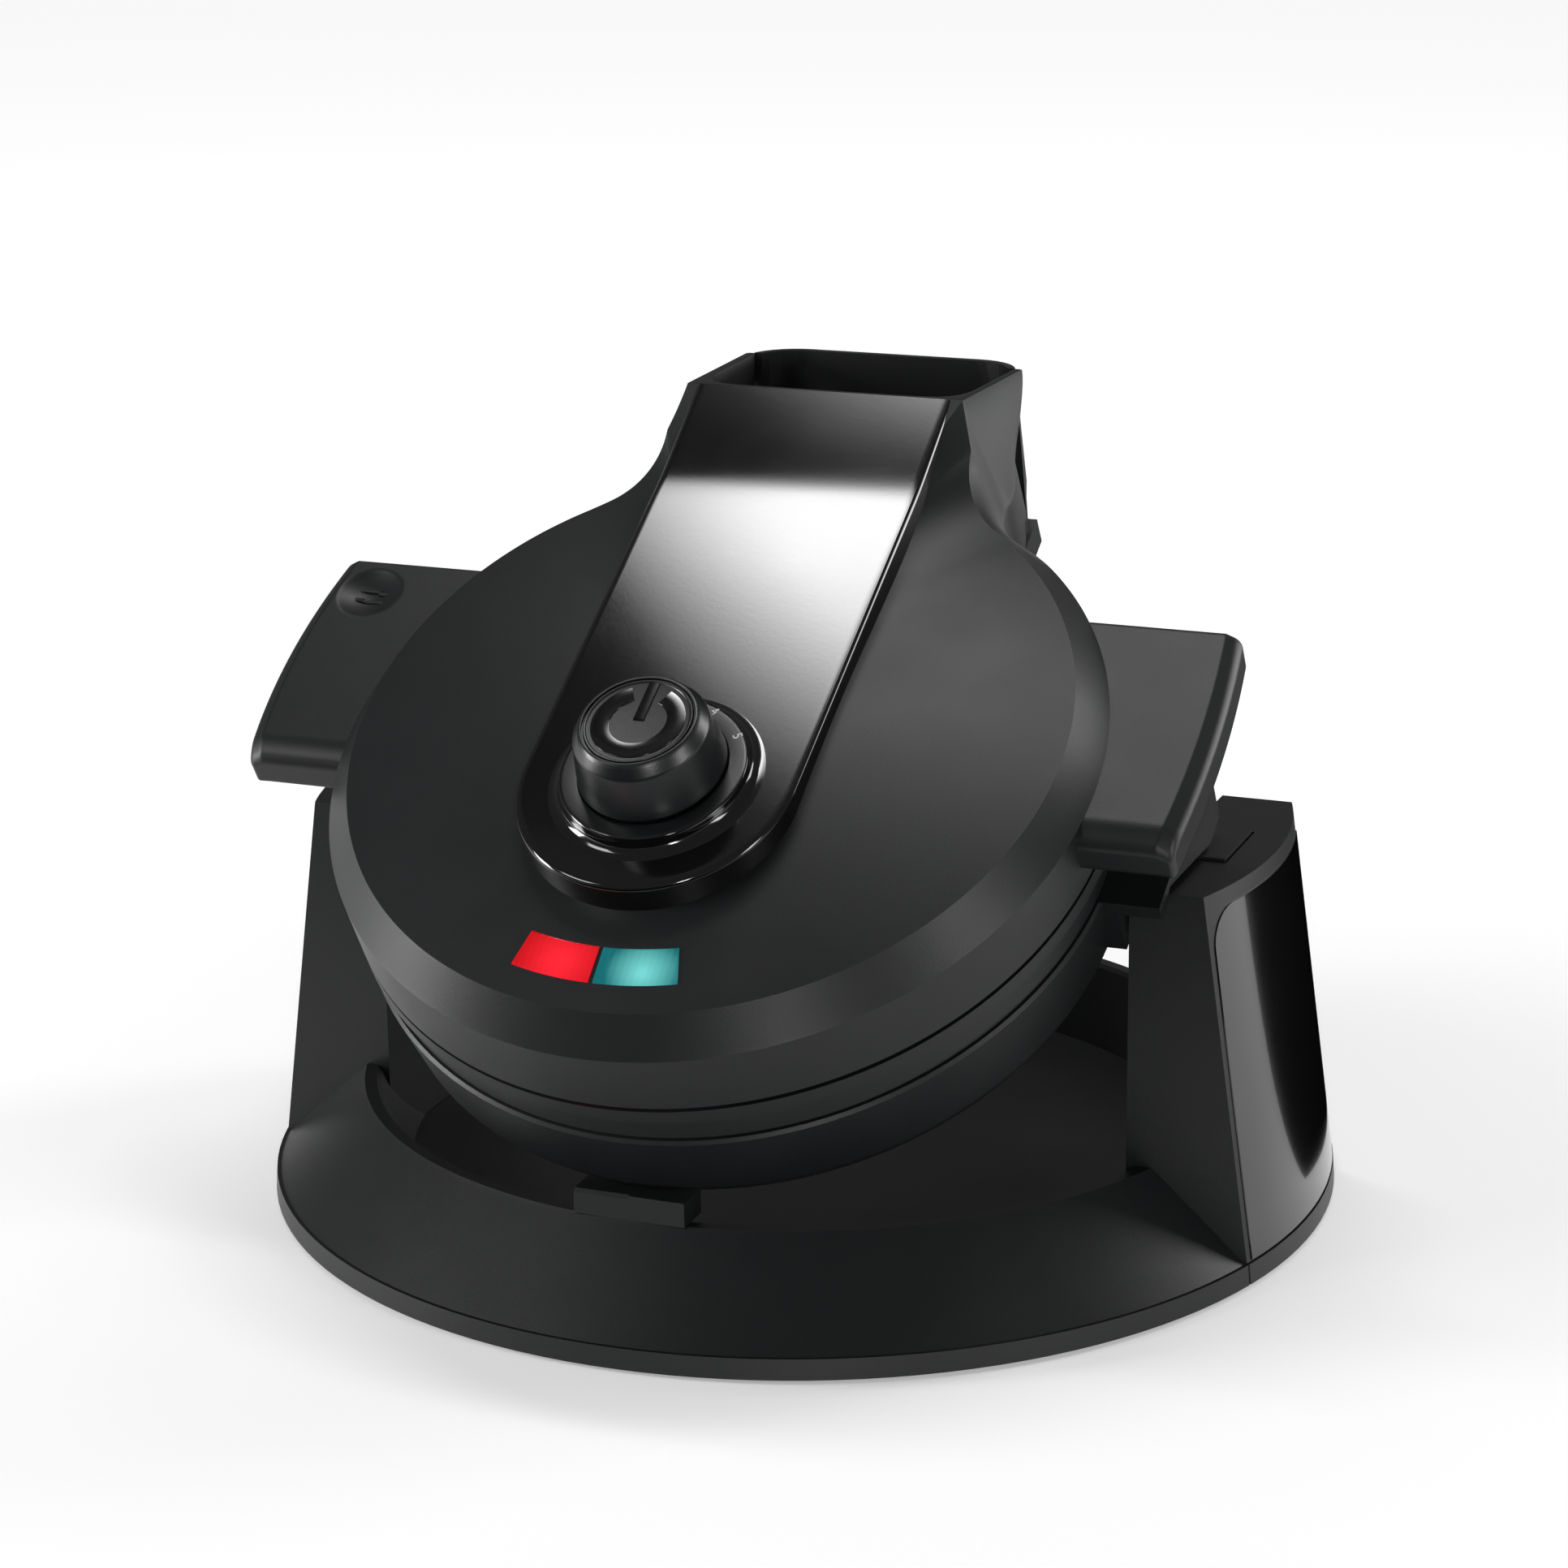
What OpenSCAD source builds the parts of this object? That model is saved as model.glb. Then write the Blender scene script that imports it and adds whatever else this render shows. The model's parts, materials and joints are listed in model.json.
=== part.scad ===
/* [Base] */
// Outer radius of the base at the table
base_r = 141; // [120:1:170]
// Height of the upright lip round the base
lip_h = 6.5; // [4:0.5:10]
// Radius of the top rim of the sloping skirt
rim_r = 117.4; // [104:0.2:128]
// Height of the top rim of the sloping skirt
rim_h = 28.8; // [22:0.2:34]
// Wall thickness of the base moulding
base_wall = 2.6; // [1.8:0.1:4]
// Height of the dish floor above the table
dish_floor_z = 8; // [6:0.5:12]
// How far the rubber feet stand below the base
foot_drop = 1.2; // [0.8:0.1:3]
// Radius of a rubber foot
foot_r = 9; // [6:0.5:12]

/* [Pillars] */
// Height of the pillar tops above the table
pillar_top = 100.7; // [90:0.1:115]
// Half depth of a pillar, front to back
pillar_half_y = 42; // [32:0.5:50]
// Distance of a pillar's inner wall from the middle
pillar_inner_x = 102.2; // [100.4:0.1:108]
// Inward lean of the outer face, as a share of its height
pillar_lean = 0.13; // [0.05:0.01:0.2]
// Thickness of the glossy side panel
panel_t = 2; // [1.2:0.1:3]
// Width of the pillar rim left showing beside the panel
panel_rim = 1.8; // [1:0.1:4]
// Radius of the panel's upper corners
panel_corner_r = 10; // [4:0.5:16]
// Thickness of the pillar cap
cap_t = 3; // [2:0.1:5]

/* [Pivot] */
// Height of the tilt axis above the table
pivot_z = 97; // [86:0.5:110]
// Distance of the tilt axis behind the lid's centre, along the lid
pivot_v = 32.2; // [24:0.1:40]
// Depth of the tilt axis below the lid's edge plane
pivot_d = 67.9; // [66:0.1:72]
// Radius of the steel pivot pin
pin_r = 3; // [2:0.1:4]
// Radial running clearance of the pins in their bores
pin_clear = 0.05; // [0.02:0.01:0.1]
// Radius of the arm's boss round the pin
arm_r = 6.5; // [5.5:0.1:8]
// Tilt of the body in the filling position
tilt = 31.4; // [28:0.1:33]

/* [Body] */
// Outer radius of the lid wall
lid_r = 98.4; // [90:0.1:100]
// Radius of the lid's domed face
face_r = 91.3; // [84:0.1:94]
// Height of the bevel ring round the face
bevel_h = 8.2; // [4:0.1:12]
// Rise of the domed face above its edge
dome_h = 9.5; // [4:0.1:14]
// Depth of the parting plane below the face's edge
parting_d = 39.8; // [36:0.1:42]
// Gap left between the lid and the lower shell
parting_gap = 0.4; // [0.2:0.1:1]
// Depth of the lower shell's underside
bottom_d = 65.4; // [60:0.1:66]
// Wall thickness of the body shells
wall = 2.6; // [1.8:0.1:4]

/* [Spout] */
// Width of the spout at its rim
spout_w = 76; // [60:1:84]
// Depth of the spout at its rim
spout_depth = 54.5; // [40:0.5:60]
// Distance of the rim's front edge from the lid's centre
spout_v = 105.3; // [100:0.1:112]
// Height of the rim's front edge above the face's edge
spout_top = 15.3; // [12:0.1:22]
// Half width of the neck where it leaves the lid
neck_half = 46; // [40:0.5:52]
// Radius of the fillets between the neck and the lid
neck_fillet = 28; // [16:1:36]
// Thickness of the spout's front and side walls
spout_wall = 2.4; // [1.6:0.1:4]

/* [Handles] */
// Distance of a handle's outer edge from the middle
handle_u = 122.5; // [112:0.1:128]
// Front end of the handles, measured from the lid's centre
handle_front = -15.5; // [-26:0.5:-10]
// Back end of the handles, measured from the lid's centre
handle_back = 54.5; // [40:0.5:56]
// Thickness of a handle
handle_t = 12; // [9:0.5:20]

/* [Control] */
// Distance of the dial from the lid's centre, towards the front
dial_v = 29; // [20:1:36]
// Half width of the raised control strip
strip_half = 36.4; // [30:0.2:40]
// Height of the control strip above the dome's middle
strip_t = 3.2; // [1.5:0.1:5]
// Radius of the dial collar's flat top
collar_r = 22.8; // [20:0.2:26]
// Radius of the knob
knob_r = 17.5; // [13:0.1:19]
// Radius of the thermostat shaft
shaft_r = 3; // [2:0.1:4]

/* [Moulds] */
// Radius of the cooking plates
plate_r = 91; // [84:0.5:93]
// Thickness of a cooking plate
plate_t = 11; // [10.6:0.1:14]
// Number of doughnuts baked at a time
donuts = 6; // [4:1:7]
// Radius of the circle that the doughnuts lie on
donut_ring_r = 57; // [50:0.5:60]
// Radius of one doughnut's centre line
donut_mid_r = 15; // [12:0.5:17]
// Radius of one doughnut's cross section
donut_sec_r = 8.5; // [6:0.1:9]

/* [Lid hinge] */
// Distance of the lid hinge from the lid's centre
hinge_v = 138.5; // [136:0.1:144]
// Depth of the lid hinge below the face's edge
hinge_d = 44; // [42:0.1:48]
// Radius of the hinge barrels
barrel_r = 4.6; // [3.6:0.1:5]
// Radius of the hinge pin
hinge_pin_r = 1.8; // [1.2:0.1:2.4]
// Half width of the lid's hinge barrel
hinge_half = 14; // [8:0.5:20]
// Length of each outer hinge barrel
lug_w = 6; // [4:0.5:10]

/* [Hidden] */
$fn = 96;

sat_black = [0.07, 0.07, 0.075];
gloss_black = [0.02, 0.02, 0.022];
steel_grey = [0.62, 0.63, 0.65];
eps = 0.02;
gap = 0.25;

// The skirt's slope, the pillars' outer cone and what stands on them
lip_z = foot_drop;
lip_r = base_r - 0.4;
rim_w = 4;
dish_r = rim_r - rim_w - 9;
hollow_z = rim_h - 2 * base_wall;
hollow_f = (hollow_z - lip_h) / (rim_h - lip_h);
pillar_wall = 2.4;
panel_z0 = lip_h + 0.6;
panel_z1 = pillar_top - cap_t - 1.2;
cone_r0 = base_r;
function cone_r(z) = cone_r0 - pillar_lean * z;

// The pivot's notch in the pillar and the block beyond it
notch_half_y = 13;
notch_depth_x = 6.3;
block_w = 9.5;
block_gap = 0.6;
notch_z = pivot_z - arm_r - 1.5;
block_x0 = pillar_inner_x + notch_depth_x;
arm_x0 = pillar_inner_x + 1;
arm_x1 = block_x0 - 1;
pin_x0 = arm_x0;
pin_x1 = block_x0 + block_w - 1.5;

// The lid's dome and the spout's rim
dome_power = 2;
dome_steps = 12;
function dome(r) = dome_h * (1 - pow(min(r, face_r) / face_r, dome_power));
rim_dir = [cos(tilt), -sin(tilt)];
rim_back = [spout_v + spout_depth * rim_dir[0], spout_top + spout_depth * rim_dir[1]];
neck_back = hinge_v - barrel_r;
neck_start = 66;
neck_turn_v = 112;
neck_back_half = neck_half - 8;
seam_s = 45;
seam_bottom_v = neck_back - 12;
lid_bottom = -parting_d + parting_gap / 2;
shell_top = -parting_d - parting_gap / 2;
groove_d = 26.2;
recess_d = 31.7;
recess_in = 1.8;
bulkhead_r = lid_r - 4.4;

// The plates
plate_gap = 0.4;
upper_face = -parting_d + plate_gap / 2;
lower_face = -parting_d - plate_gap / 2;
feed_r = 4.2;
link_half = donut_ring_r * sin(180 / donuts) - donut_mid_r - donut_sec_r + 4;
tongue_half = 22;
tongue_v = neck_back - 8;
element_r = 60;
element_sec = 3.2;
plate_screw_r = 1.75;
plate_screw_pos = [for (a = [0, 120, 240]) [sin(a) * 27, cos(a) * 27]];

// The dial
strip_top_w = dome_h + strip_t;
collar_top_w = strip_top_w + 3.8;
knob_base_w = collar_top_w + 0.8;
knob_h = 15.3;
lens_r0 = 74.4;
lens_r1 = 84;
lens_angle = 14.6;
lens_gap = 0.4;
handle_top_w = -9;
handle_chamfer = 2.6;
handle_round = 4;
ear_u1 = 112;
handle_screw_v = [4, 26];
handle_screw_r = 1.6;
handle_screw_w = -16;

// Puts the body's own frame, whose Z is the lid's normal, at the filling tilt
module in_body() {
    translate([0, 0, pivot_z])
        rotate([tilt, 0, 0])
            translate([0, -pivot_v, pivot_d])
                children();
}

// Extrudes an outline given as [along Y, along Z] to both sides of the middle
module side_extrude(width) {
    rotate([90, 0, 90])
        linear_extrude(height = width, center = true)
            children();
}

// Extrudes an outline given as [along X, along Z] from one Y to another
module front_extrude(y0, y1) {
    translate([0, y1, 0])
        rotate([90, 0, 0])
            linear_extrude(height = y1 - y0)
                children();
}

module x_cylinder(r, x0, x1) {
    translate([x0, 0, 0])
        rotate([0, 90, 0])
            cylinder(r = r, h = x1 - x0);
}

module both_sides() {
    children();
    mirror([1, 0, 0])
        children();
}

module rounded_rect(w, d, r) {
    hull()
        for (x = [-1, 1], y = [-1, 1])
            translate([x * (w / 2 - r), y * (d / 2 - r)])
                circle(r = r, $fn = 32);
}

// ---------------------------------------------------------------- base

module base_profile() {
    polygon([
        [base_r, lip_z], [lip_r, lip_h], [lip_r - 1, lip_h],
        [rim_r, rim_h - 0.8], [rim_r - 0.8, rim_h], [rim_r - rim_w, rim_h],
        [rim_r - rim_w - 1, rim_h - 1], [dish_r, dish_floor_z], [0, dish_floor_z],
        [0, dish_floor_z - base_wall], [dish_r + base_wall, dish_floor_z - base_wall],
        [dish_r + base_wall + 8 * hollow_f, hollow_z],
        [lip_r - 1 - 1.44 * base_wall - (lip_r - 1 - rim_r) * hollow_f, hollow_z],
        [lip_r - 1 - 1.44 * base_wall, lip_h], [base_r - base_wall, lip_z]
    ]);
}

module pillar_footprint(grow) {
    translate([pillar_inner_x - grow, -pillar_half_y - grow])
        square([base_r, 2 * (pillar_half_y + grow)]);
}

module base_shell() {
    color(sat_black)
        difference() {
            rotate_extrude()
                base_profile();
            both_sides()
                translate([0, 0, lip_h + gap])
                    linear_extrude(height = rim_h)
                        pillar_footprint(0.2);
            both_sides()
                for (y = [-1, 1])
                    translate([cone_r(0) * cos(asin(pillar_half_y / base_r)) - 0.8,
                            y * pillar_half_y - 0.3, 0])
                        cube([3, 0.6, lip_h + 1]);
            for (p = base_screw_pos)
                translate([p[0], p[1], 0])
                    cylinder(r = 1.7, h = dish_floor_z - 1);
            translate([0, gland_y - 8, gland_z])
                rotate([-90, 0, 0])
                    cylinder(r = gland_r + 0.1, h = 30);
        }
}

base_screw_pos = [for (a = [45 : 90 : 315]) [96 * cos(a), 96 * sin(a)]];
foot_pos = [for (a = [35, 145, 215, 325]) [122 * cos(a), 122 * sin(a)]];
gland_r = 3.2;
gland_z = 10;
gland_y = 126;

module base_bottom_plate() {
    color(sat_black)
        difference() {
            translate([0, 0, lip_z + 0.3])
                cylinder(r = base_r - base_wall - 1.9, h = 2);
            for (p = base_screw_pos)
                translate([p[0], p[1], 0])
                    cylinder(r = 1.7, h = 9);
            for (p = foot_pos)
                translate([p[0], p[1], 0])
                    cylinder(r = foot_r - 3, h = 9);
        }
}

module rubber_feet() {
    color([0.1, 0.1, 0.1])
        for (p = foot_pos)
            translate([p[0], p[1], 0]) {
                cylinder(r1 = foot_r - 1, r2 = foot_r, h = lip_z + 0.3);
                cylinder(r = foot_r - 3, h = lip_z + 2.6);
            }
}

module screw_down(r, head_r, head_h, length) {
    cylinder(r = head_r, h = head_h);
    cylinder(r = r, h = length);
}

module base_screws() {
    color(steel_grey)
        for (p = base_screw_pos)
            translate([p[0], p[1], lip_z - 0.5])
                difference() {
                    screw_down(1.7, 3, 0.8, 5.4);
                    translate([-2, -0.4, -1])
                        cube([4, 0.8, 1.4]);
                }
}

module cord_gland() {
    color([0.05, 0.05, 0.05])
        translate([0, gland_y, gland_z])
            rotate([-90, 0, 0])
                difference() {
                    cylinder(r = gland_r, h = base_r - gland_y - 0.6);
                    translate([0, 0, -1])
                        cylinder(r = 2.2, h = 30);
                }
}

rest_half = 14.5;
rest_top = pivot_z + (pivot_d - bottom_d + 2) * cos(tilt)
    - (lid_r - 4.6 + pivot_v) * sin(tilt) - 0.15;

module tilt_rest() {
    color([0.1, 0.1, 0.1])
        translate([-rest_half, -rim_r + 0.8, rim_h])
            difference() {
                cube([2 * rest_half, 10.4, rest_top - rim_h]);
                translate([-1, 0, rest_top - rim_h])
                    rotate([45, 0, 0])
                        cube([2 * rest_half + 2, 1.2, 1.2], center = true);
            }
}

// ---------------------------------------------------------------- pillars

module outer_cone(inset, z0, z1) {
    translate([0, 0, z0])
        cylinder(r1 = cone_r(z0) - inset, r2 = cone_r(z1) - inset, h = z1 - z0);
}

// A window with two rounded upper corners, seen from the side
module panel_window(margin, corner) {
    half = pillar_half_y - margin;
    top = panel_z1;
    translate([0, 0, 0])
        rotate([90, 0, 90])
            linear_extrude(height = base_r + 10) {
                translate([-half, panel_z0 - 0.5])
                    square([2 * half, top - corner - panel_z0 + 0.5]);
                translate([-half + corner, panel_z0])
                    square([2 * (half - corner), top - panel_z0]);
                for (y = [-1, 1])
                    translate([y * (half - corner), top - corner])
                        circle(r = corner);
            }
}

module pillar_block() {
    intersection() {
        outer_cone(0, lip_h + gap + 0.05, pillar_top - cap_t);
        translate([0, 0, lip_h])
            linear_extrude(height = pillar_top)
                pillar_footprint(0);
    }
}

module pillar_solid() {
    difference() {
        pillar_block();
        intersection() {
            difference() {
                outer_cone(-10, panel_z0, panel_z1 + 5);
                outer_cone(panel_t + 0.15, panel_z0 - 1, panel_z1 + 6);
            }
            panel_window(panel_rim, panel_corner_r);
        }
        difference() {
            translate([pillar_inner_x + pillar_wall, -pillar_half_y + pillar_wall, rim_h])
                cube([40, 2 * (pillar_half_y - pillar_wall), notch_z - rim_h - 3]);
            difference() {
                outer_cone(-20, 0, pillar_top + 10);
                outer_cone(panel_t + pillar_wall, -1, pillar_top + 11);
            }
        }
        translate([pillar_inner_x - 1, -notch_half_y, notch_z])
            cube([notch_depth_x + 1, 2 * notch_half_y, 30]);
        translate([block_x0 - 1, -notch_half_y - block_gap, notch_z - 1.6])
            cube([block_w + 1 + block_gap, 2 * (notch_half_y + block_gap), 30]);
    }
}

module left_pillar() {
    color(sat_black)
        mirror([1, 0, 0])
            pillar_solid();
}

module right_pillar() {
    color(sat_black)
        pillar_solid();
}

module panel_solid() {
    intersection() {
        difference() {
            outer_cone(-0.3, panel_z0 + 0.1, panel_z1);
            outer_cone(panel_t, panel_z0 - 1, panel_z1 + 1);
        }
        panel_window(panel_rim + 0.2, panel_corner_r - 0.2);
        translate([0, 0, 0])
            linear_extrude(height = pillar_top)
                pillar_footprint(0);
    }
}

module left_pillar_panel() {
    color(gloss_black)
        mirror([1, 0, 0])
            panel_solid();
}

module right_pillar_panel() {
    color(gloss_black)
        panel_solid();
}

module cap_solid() {
    difference() {
        intersection() {
            outer_cone(0, pillar_top - cap_t, pillar_top);
            translate([0, 0, pillar_top - cap_t])
                linear_extrude(height = cap_t)
                    pillar_footprint(0);
        }
        translate([pillar_inner_x - 1, -notch_half_y, notch_z])
            cube([notch_depth_x + 2, 2 * notch_half_y, 30]);
        translate([block_x0 - 1, -notch_half_y - block_gap, notch_z])
            cube([block_w + 1 + block_gap, 2 * (notch_half_y + block_gap), 30]);
    }
}

module left_pillar_cap() {
    color(sat_black)
        mirror([1, 0, 0])
            cap_solid();
}

module right_pillar_cap() {
    color(sat_black)
        cap_solid();
}

module bearing_solid() {
    difference() {
        translate([block_x0, -notch_half_y, notch_z - 1.6])
            cube([block_w, 2 * notch_half_y, pillar_top + 0.8 - notch_z + 1.6]);
        translate([0, 0, pivot_z])
            x_cylinder(pin_r + pin_clear, block_x0 - 1, pin_x1 + 0.6);
    }
}

module left_bearing_block() {
    color([0.12, 0.12, 0.12])
        mirror([1, 0, 0])
            bearing_solid();
}

module right_bearing_block() {
    color([0.12, 0.12, 0.12])
        bearing_solid();
}

// ---------------------------------------------------------------- lower shell

module pin_solid() {
    translate([0, 0, pivot_z])
        difference() {
            x_cylinder(pin_r, pin_x0, pin_x1);
            translate([pin_x1 - 0.6, 0, 0])
                rotate([0, 90, 0])
                    difference() {
                        cylinder(r = pin_r + 1, h = 1);
                        translate([0, 0, -eps])
                            cylinder(r1 = pin_r, r2 = pin_r - 0.6, h = 1);
                    }
        }
}

module left_pivot_pin() {
    color(steel_grey)
        mirror([1, 0, 0])
            pin_solid();
}

module right_pivot_pin() {
    color(steel_grey)
        pin_solid();
}

// Plan outline of the neck's root with its two fillets; the curve leaves the
// lid's circle at one tangent point and joins the neck's side at the other
module neck_plan(r, half, fillet, back) {
    cu = half + fillet;
    cv = sqrt(pow(r + fillet, 2) - cu * cu);
    a0 = atan2(-cv, -cu);
    steps = 8;
    arc = [for (i = [0 : steps]) let (a = 180 + (360 + a0 - 180) * i / steps)
        [cu + fillet * cos(a), cv + fillet * sin(a)]];
    polygon(concat([[0, 20], [half, back], [half, cv]], [for (i = [1 : steps]) arc[i]],
        [[0, 20]]));
    mirror([1, 0])
        polygon(concat([[0, 20], [half, back], [half, cv]], [for (i = [1 : steps]) arc[i]],
            [[0, 20]]));
    translate([-half, 20])
        square([2 * half, back - 20]);
}

module lower_profile() {
    polygon([
        [lid_r - 1.2, shell_top], [lid_r - 0.4, shell_top - 0.8],
        [lid_r - 3, -bottom_d + 5], [lid_r - 4.6, -bottom_d + 2],
        [lid_r - 8, -bottom_d + 0.3], [lid_r - 12, -bottom_d], [0, -bottom_d],
        [0, -bottom_d + wall], [lid_r - 12, -bottom_d + wall],
        [lid_r - 8.4, -bottom_d + wall + 1], [lid_r - 5.8, -bottom_d + 6],
        [lid_r - 3.6, shell_top - 5], [lid_r - 4.2, shell_top]
    ]);
}

module slab(v0, v1, half, w0, t) {
    translate([-half, v0, w0])
        cube([2 * half, v1 - v0, t]);
}

module lower_tongue() {
    hull() {
        slab(40, neck_turn_v, neck_half - 1.2, shell_top - 0.1, 0.1);
        slab(40, neck_back - 1.2, neck_back_half, shell_top - 0.1, 0.1);
        slab(40, neck_back - 3, neck_back_half - 1.5, shell_top - 8, 0.1);
        slab(40, neck_back - 26, neck_half - 9, -bottom_d + 2, 0.1);
    }
}

module lower_tongue_cavity() {
    hull() {
        slab(92, neck_back - 1.2 - wall, neck_back_half - wall, shell_top + 1, 0.1);
        slab(92, neck_back - 4 - wall, neck_back_half - 2 - wall, shell_top - 8, 0.1);
    }
}

// An ear stands clear above its pillar both at the filling tilt and level
function ear_floor(v) = -min(pivot_d - 6.7, 42 + 0.611 * v);

module ear() {
    u0 = lid_r - 6;
    intersection() {
        translate([(u0 + ear_u1) / 2, 0, 0])
            side_extrude(ear_u1 - u0)
                polygon([
                    [-9, shell_top], [-9, shell_top - 4], [-6, shell_top - 4.6],
                    [0, ear_floor(0) - 0.2], [10, ear_floor(10)], [20, ear_floor(20)],
                    [31, ear_floor(31)], [44, ear_floor(44)], [46, -58], [46, shell_top]
                ]);
        translate([0, 0, -80])
            cylinder(r = 119, h = 60);
    }
    translate([(u0 + pillar_inner_x - 0.8) / 2, 0, 0])
        side_extrude(pillar_inner_x - 0.8 - u0)
            polygon([[-9, shell_top], [-9, -57], [44, -57], [46, shell_top]]);
    translate([0, pivot_v, -pivot_d])
        x_cylinder(arm_r, arm_x0, arm_x1);
    translate([arm_x0, pivot_v - arm_r + 0.4, -pivot_d])
        cube([arm_x1 - arm_x0, 2 * arm_r - 0.8, pivot_d + shell_top - 10]);
}

module lower_shell() {
    color(sat_black)
        in_body()
            difference() {
                union() {
                    difference() {
                        union() {
                            rotate_extrude()
                                lower_profile();
                            difference() {
                                union() {
                                    lower_tongue();
                                    translate([0, 0, shell_top - 8])
                                        linear_extrude(height = 8)
                                            neck_plan(lid_r - 1.2, neck_half - 1.2,
                                                neck_fillet, neck_back - 14);
                                }
                                translate([0, 0, -100])
                                    cylinder(r = lid_r - 3.8, h = 200);
                            }
                        }
                        lower_tongue_cavity();
                    }
                    both_sides()
                        difference() {
                            ear();
                            translate([0, 0, -62])
                                cylinder(r = lid_r - 4.4, h = 60);
                        }
                    both_sides()
                        hinge_lug(hinge_half + 0.3, lug_w);
                }
                both_sides()
                    translate([0, pivot_v, -pivot_d])
                        x_cylinder(pin_r, arm_x0 - 1, arm_x1 + 1);
                translate([0, hinge_v, -hinge_d])
                    x_cylinder(hinge_pin_r, -40, 40);
                translate([0, hinge_v, -hinge_d])
                    x_cylinder(barrel_r + 0.6, -hinge_half - 0.3, hinge_half + 0.3);
                for (p = plate_screw_pos)
                    translate([p[0], p[1], -bottom_d - 1])
                        cylinder(r = plate_screw_r, h = 10);
            }
}

module hinge_lug(u0, width) {
    hull() {
        translate([0, hinge_v, -hinge_d])
            x_cylinder(barrel_r, u0, u0 + width, $fn = 32);
        translate([u0, neck_back - 5, shell_top - 7])
            cube([width, 4, 6]);
    }
}

module lower_plate() {
    color([0.16, 0.16, 0.17])
        in_body()
            difference() {
                union() {
                    translate([0, 0, lower_face - plate_t])
                        cylinder(r = plate_r, h = plate_t);
                    slab(40, tongue_v, tongue_half, lower_face - 6.5, 6.5);
                }
                donut_cuts(lower_face + 0.08);
                plate_bosses(lower_face - plate_t);
            }
}

// Ring-shaped moulds, the channel that joins them and the feed from the spout
module donut_cuts(face_w) {
    for (i = [0 : donuts - 1])
        rotate([0, 0, 360 / donuts * (i + 0.5)])
            translate([0, donut_ring_r, face_w])
                rotate_extrude()
                    translate([donut_mid_r, 0])
                        circle(r = donut_sec_r);
    for (i = [0 : donuts - 1])
        rotate([0, 0, 360 / donuts * i])
            translate([-link_half, donut_ring_r * cos(180 / donuts), face_w])
                rotate([0, 90, 0])
                    cylinder(r = 2.6, h = 2 * link_half);
    translate([0, donut_ring_r * cos(180 / donuts), face_w])
        rotate([-90, 0, 0])
            rotate([0, 0, 90])
                cylinder(r = feed_r, h = 120);
}

module plate_bosses(w0) {
    for (p = plate_screw_pos)
        translate([p[0], p[1], w0 - eps])
            cylinder(r = plate_screw_r, h = 6);
}

module plate_screws(w0, direction) {
    for (p = plate_screw_pos)
        translate([p[0], p[1], w0])
                rotate([direction > 0 ? 0 : 180, 0, 0])
                    difference() {
                        union() {
                            translate([0, 0, -1.6])
                                cylinder(r = 3.4, h = 1.6);
                            cylinder(r = plate_screw_r, h = 13);
                        }
                        translate([-2.4, -0.45, -2])
                            cube([4.8, 0.9, 1.2]);
                    }
}

module element(w0) {
    translate([0, 0, w0])
        rotate([0, 0, 105])
            rotate_extrude(angle = 330)
                translate([element_r, 0])
                    circle(r = element_sec);
}

module lower_heating_element() {
    color([0.45, 0.43, 0.42])
        in_body()
            element(lower_face - plate_t - element_sec - 0.1);
}

module lower_heat_shield() {
    color(steel_grey)
        in_body()
            shield(-bottom_d + wall + 2.2);
}

module shield(w0) {
    difference() {
        translate([0, 0, w0])
            cylinder(r = 80, h = 0.8);
        for (p = plate_screw_pos)
            translate([p[0], p[1], w0 - 1])
                cylinder(r = 4, h = 3);
    }
}

module lower_plate_screws() {
    color(steel_grey)
        in_body()
            plate_screws(-bottom_d, 1);
}

module hinge_pin() {
    color(steel_grey)
        in_body()
            translate([0, hinge_v, -hinge_d])
                x_cylinder(hinge_pin_r, -hinge_half - 0.3 - lug_w, hinge_half + 0.3 + lug_w);
}

// ---------------------------------------------------------------- lid

module lid_profile() {
    dome_pts = [for (i = [0 : dome_steps]) let (r = face_r * i / dome_steps) [r, dome(r)]];
    inner_pts = [for (i = [dome_steps - 1 : -1 : 0])
        let (r = (face_r - 3) * i / (dome_steps - 1)) [r, dome(r) - wall]];
    polygon(concat(dome_pts, [
        [lid_r - 0.7, -bevel_h], [lid_r, -bevel_h - 0.8], [lid_r, -groove_d],
        [lid_r - 0.9, -groove_d], [lid_r - 0.9, -groove_d - 0.9],
        [lid_r - recess_in - 0.8, -groove_d - 0.9],
        [lid_r - recess_in - 0.8, lid_bottom], [bulkhead_r, lid_bottom],
        [bulkhead_r, -bevel_h - 4]
    ], inner_pts));
}

// The rim's frame: X across, Y back along the rim, Z out of the spout
module at_rim() {
    translate([0, spout_v, spout_top])
        rotate([-tilt, 0, 0])
            children();
}

module rim_slab(inset, t) {
    at_rim()
        translate([0, spout_depth / 2, -t])
            linear_extrude(height = t)
                rounded_rect(spout_w - 2 * inset, spout_depth - 2 * inset,
                    14 - inset);
}

module neck_outer() {
    hull() {
        rim_slab(0, 0.2);
        at_rim()
            translate([-spout_w / 2 + 2, 0, -0.2])
                cube([spout_w - 4, 20, 0.2]);
        slab(neck_start, neck_turn_v, neck_half - 2, lid_bottom, 1);
        slab(neck_start, neck_back, neck_back_half, lid_bottom, 1);
        slab(neck_start, neck_turn_v - 2, neck_half - 4, -12, 1);
        slab(neck_start, neck_start + 4, strip_half + 2, dome(neck_start) - 1.2, 0.4);
    }
}

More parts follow.
